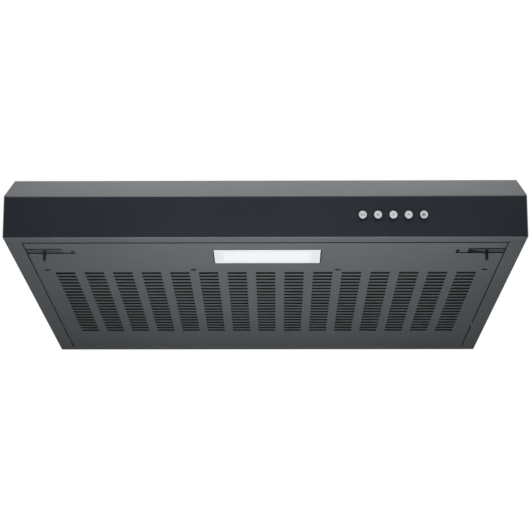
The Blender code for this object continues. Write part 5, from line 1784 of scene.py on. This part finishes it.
@dataclass
class Electrics:
    """Terminal box with its lid, the capacitor and the leads.

    Attributes:
        edge: Radius of the capacitor's rolled ends.
    """

    edge: float = 0.0015

    def build(self) -> None:
        """Makes each piece."""
        dressed("terminal_box", "junction_box", 0.0008, GREY)
        dressed("terminal_lid", "junction_lid", 0.0008, GREY)
        self.capacitor()
        for lead in self.leads():
            lead.build()

    def leads(self) -> tuple[Lead, ...]:
        """The three leads, from the terminal box to the motor, the lamp and the switch block.

        Returns:
            The leads.
        """
        low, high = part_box("terminal_box")
        x, y, _ = middle_of((low, high))
        right, front = high.x + GAP, low.y - GAP
        return (
            Lead("motor_lead", (
                (right, y - 0.0150, -0.0220), (right + 0.0140, y - 0.0150, -0.0220),
                (-0.2020, 0.0100, -0.0126), (-0.1390, -0.0160, -0.0066),
                (-0.1140, -0.0200, -0.0066), (-0.0840, -0.0200, -0.0066),
                (-0.0300, -0.0200, -0.0066),
            )),
            Lead("lamp_lead", (
                (x + 0.0100, front, -0.0300), (x + 0.0100, front - 0.0160, -0.0300),
                (-0.2350, -0.0800, -0.0500), (-0.1500, -0.1680, -0.0450),
                (-0.0800, -0.1458, -0.0742), (-0.0518, -0.1578, -0.0682),
                (-0.0398, -0.1578, -0.0802), (-0.0398, -0.1578, -0.0902),
            )),
            Lead("switch_lead", (
                (x - 0.0120, front, -0.0200), (x - 0.0120, front - 0.0300, -0.0200),
                (-0.2550, -0.0900, -0.0120), (-0.1900, -0.1760, -0.0100),
                (-0.0800, -0.1820, -0.0090), (0.0400, -0.1800, -0.0100),
                (0.1200, -0.1840, -0.0220), (0.2032, -0.2323, -0.0519),
                (0.2032, -0.2293, -0.0632),
            )),
        )

    def capacitor(self) -> None:
        """Run capacitor: a round can with rolled ends and a stepped cap."""
        low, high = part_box("capacitor")
        radius, edge = (high.z - low.z) / 2, self.edge
        left = arc((radius - edge, low.x + edge), edge, -90, 0, 5)
        right = arc((radius - edge, high.x - edge), edge, 0, 90, 5)
        groove = [(radius, -0.0070), (radius - 0.0008, -0.0062), (radius, -0.0054)]
        cap = [(radius - 0.003, 0.0), (radius - 0.0035, -0.0012), (0.0, -0.0012)]
        groove, cap = ([(out, high.x + back) for out, back in line] for line in (groove, cap))
        profile = [(0.0, low.x), *left, *groove, *right, *cap]
        made = mesh_object("run_capacitor", revolved(profile, 64).placed(lying((low, high))))
        settle(made, GREY, "housing", "capacitor")


# ---------------------------------------------------------------------------------------------
# Studio
# ---------------------------------------------------------------------------------------------


@dataclass
class Studio:
    """Pale floor, soft lights and the camera below and in front of the hood.

    Attributes:
        place: Where the camera stands.
        focal: Focal length in millimetres on a 36 mm sensor.
        yaw: Turn to the left, in degrees.
        pitch: Tilt upwards, in degrees.
        roll: Turn about the line of sight, in degrees.
        floor: Height of the floor.
        surround: Strength of the light from all round.
        floor_glow: How far the floor is lifted towards white where it is seen.
    """

    place: Triple = (0.0146, -1.6687, -0.7835)
    focal: float = 75.22
    yaw: float = 0.574
    pitch: float = 23.75
    roll: float = 0.136
    floor: float = -3.20
    surround: float = 0.05
    floor_glow: float = 0.55

    def build(self) -> None:
        """Makes the floor, the sky, the lights and the camera."""
        self.ground()
        self.sky()
        self.lamp("key", (0.0, -1.7, 1.5), (0.0, -0.2, 0.0), 2.0, 13.2, (1.0, 0.972, 0.950))
        self.lamp("under", (0.0, -0.72, -0.74), (0.0, -0.24, -0.11), 0.7, 2.15, (0.98, 1.0, 1.0))
        self.lamp("rear", (0.0, 1.8, 1.3), (0.0, 0.1, 0.0), 1.8, 9.0, (1.0, 1.0, 1.0))
        self.lamp("left", (-2.0, 0.0, 0.3), (0.0, 0.0, 0.0), 1.6, 6.0, (1.0, 1.0, 1.0))
        self.lamp("right", (2.0, 0.0, 0.3), (0.0, 0.0, 0.0), 1.6, 6.0, (1.0, 1.0, 1.0))
        self.camera()
        bpy.context.scene.view_settings.view_transform = "Standard"

    def ground(self) -> None:
        """A large plain floor."""
        corner = 6.0
        places = [(-corner, -corner), (corner, -corner), (corner, corner), (-corner, corner)]
        shape = Shape(np.array([(x, y, self.floor) for x, y in places]), np.array([[0, 1, 2, 3]]))
        plane = mesh_object("studio_floor", shape)
        tree = Tree("studio floor")
        tree.feed("Base Color", (0.80, 0.80, 0.80, 1))
        tree.feed("Roughness", 0.85)
        tree.feed("Emission Color", (1.0, 1.0, 1.0, 1))
        seen = tree.node("ShaderNodeLightPath").outputs["Is Camera Ray"]
        tree.feed("Emission Strength", tree.between(seen, 0.0, self.floor_glow))
        plane.data.materials.append(tree.material)

    def sky(self) -> None:
        """A white surround that lights the hood only softly."""
        world = bpy.data.worlds.new("studio")
        world.use_nodes = True
        background = world.node_tree.nodes["Background"]
        background.inputs["Color"].default_value = (1.0, 1.0, 1.0, 1)
        tree = world.node_tree
        seen = tree.nodes.new("ShaderNodeLightPath").outputs["Is Camera Ray"]
        strength = tree.nodes.new("ShaderNodeMapRange")
        strength.inputs["To Min"].default_value = self.surround
        tree.links.new(seen, strength.inputs["Value"])
        tree.links.new(strength.outputs[0], background.inputs["Strength"])
        bpy.context.scene.world = world

    def lamp(
        self, name: str, place: Triple, aim: Triple, size: float, power: float, colour: Triple
    ) -> None:
        """A square soft light.

        Args:
            name: Its name.
            place: Where it stands.
            aim: The point that it faces.
            size: Length of its side.
            power: Watts.
            colour: Its tint.
        """
        data = bpy.data.lights.new(name, "AREA")
        data.size = size
        data.energy = power
        data.color = colour
        data.spread = math.radians(75)
        obj = bpy.data.objects.new(name, data)
        obj.location = place
        obj.rotation_euler = (Vector(aim) - Vector(place)).to_track_quat("-Z", "Y").to_euler()
        obj.visible_camera = False
        bpy.context.scene.collection.objects.link(obj)

    def camera(self) -> None:
        """The camera, whose axes come from its yaw, pitch and roll in turn."""
        yaw, pitch, roll = (math.radians(angle) for angle in (self.yaw, self.pitch, self.roll))
        level = Vector((math.cos(yaw), math.sin(yaw), 0.0))
        flat = Vector((-level.y, level.x, 0.0))
        ahead = flat * math.cos(pitch) + Vector((0.0, 0.0, math.sin(pitch)))
        above = level.cross(ahead)
        right = level * math.cos(roll) + above * math.sin(roll)
        up = above * math.cos(roll) - level * math.sin(roll)
        data = bpy.data.cameras.new("camera")
        data.lens = self.focal
        data.sensor_width = 36.0
        data.clip_end = 50.0
        obj = bpy.data.objects.new("camera", data)
        turn = Matrix((right, up, -ahead)).transposed().to_4x4()
        obj.matrix_world = Matrix.Translation(self.place) @ turn
        bpy.context.scene.collection.objects.link(obj)
        bpy.context.scene.camera = obj


def main() -> None:
    """Builds the hood piece by piece, then the studio."""
    logging.basicConfig(level=logging.INFO, format="%(message)s")
    for assembly in (Housing(), ButtonRow(), Grille(), Duct(), Blower(), Electrics()):
        log.info("-- %s", type(assembly).__name__)
        assembly.build()
    Studio().build()


if __name__ == "__main__":
    main()
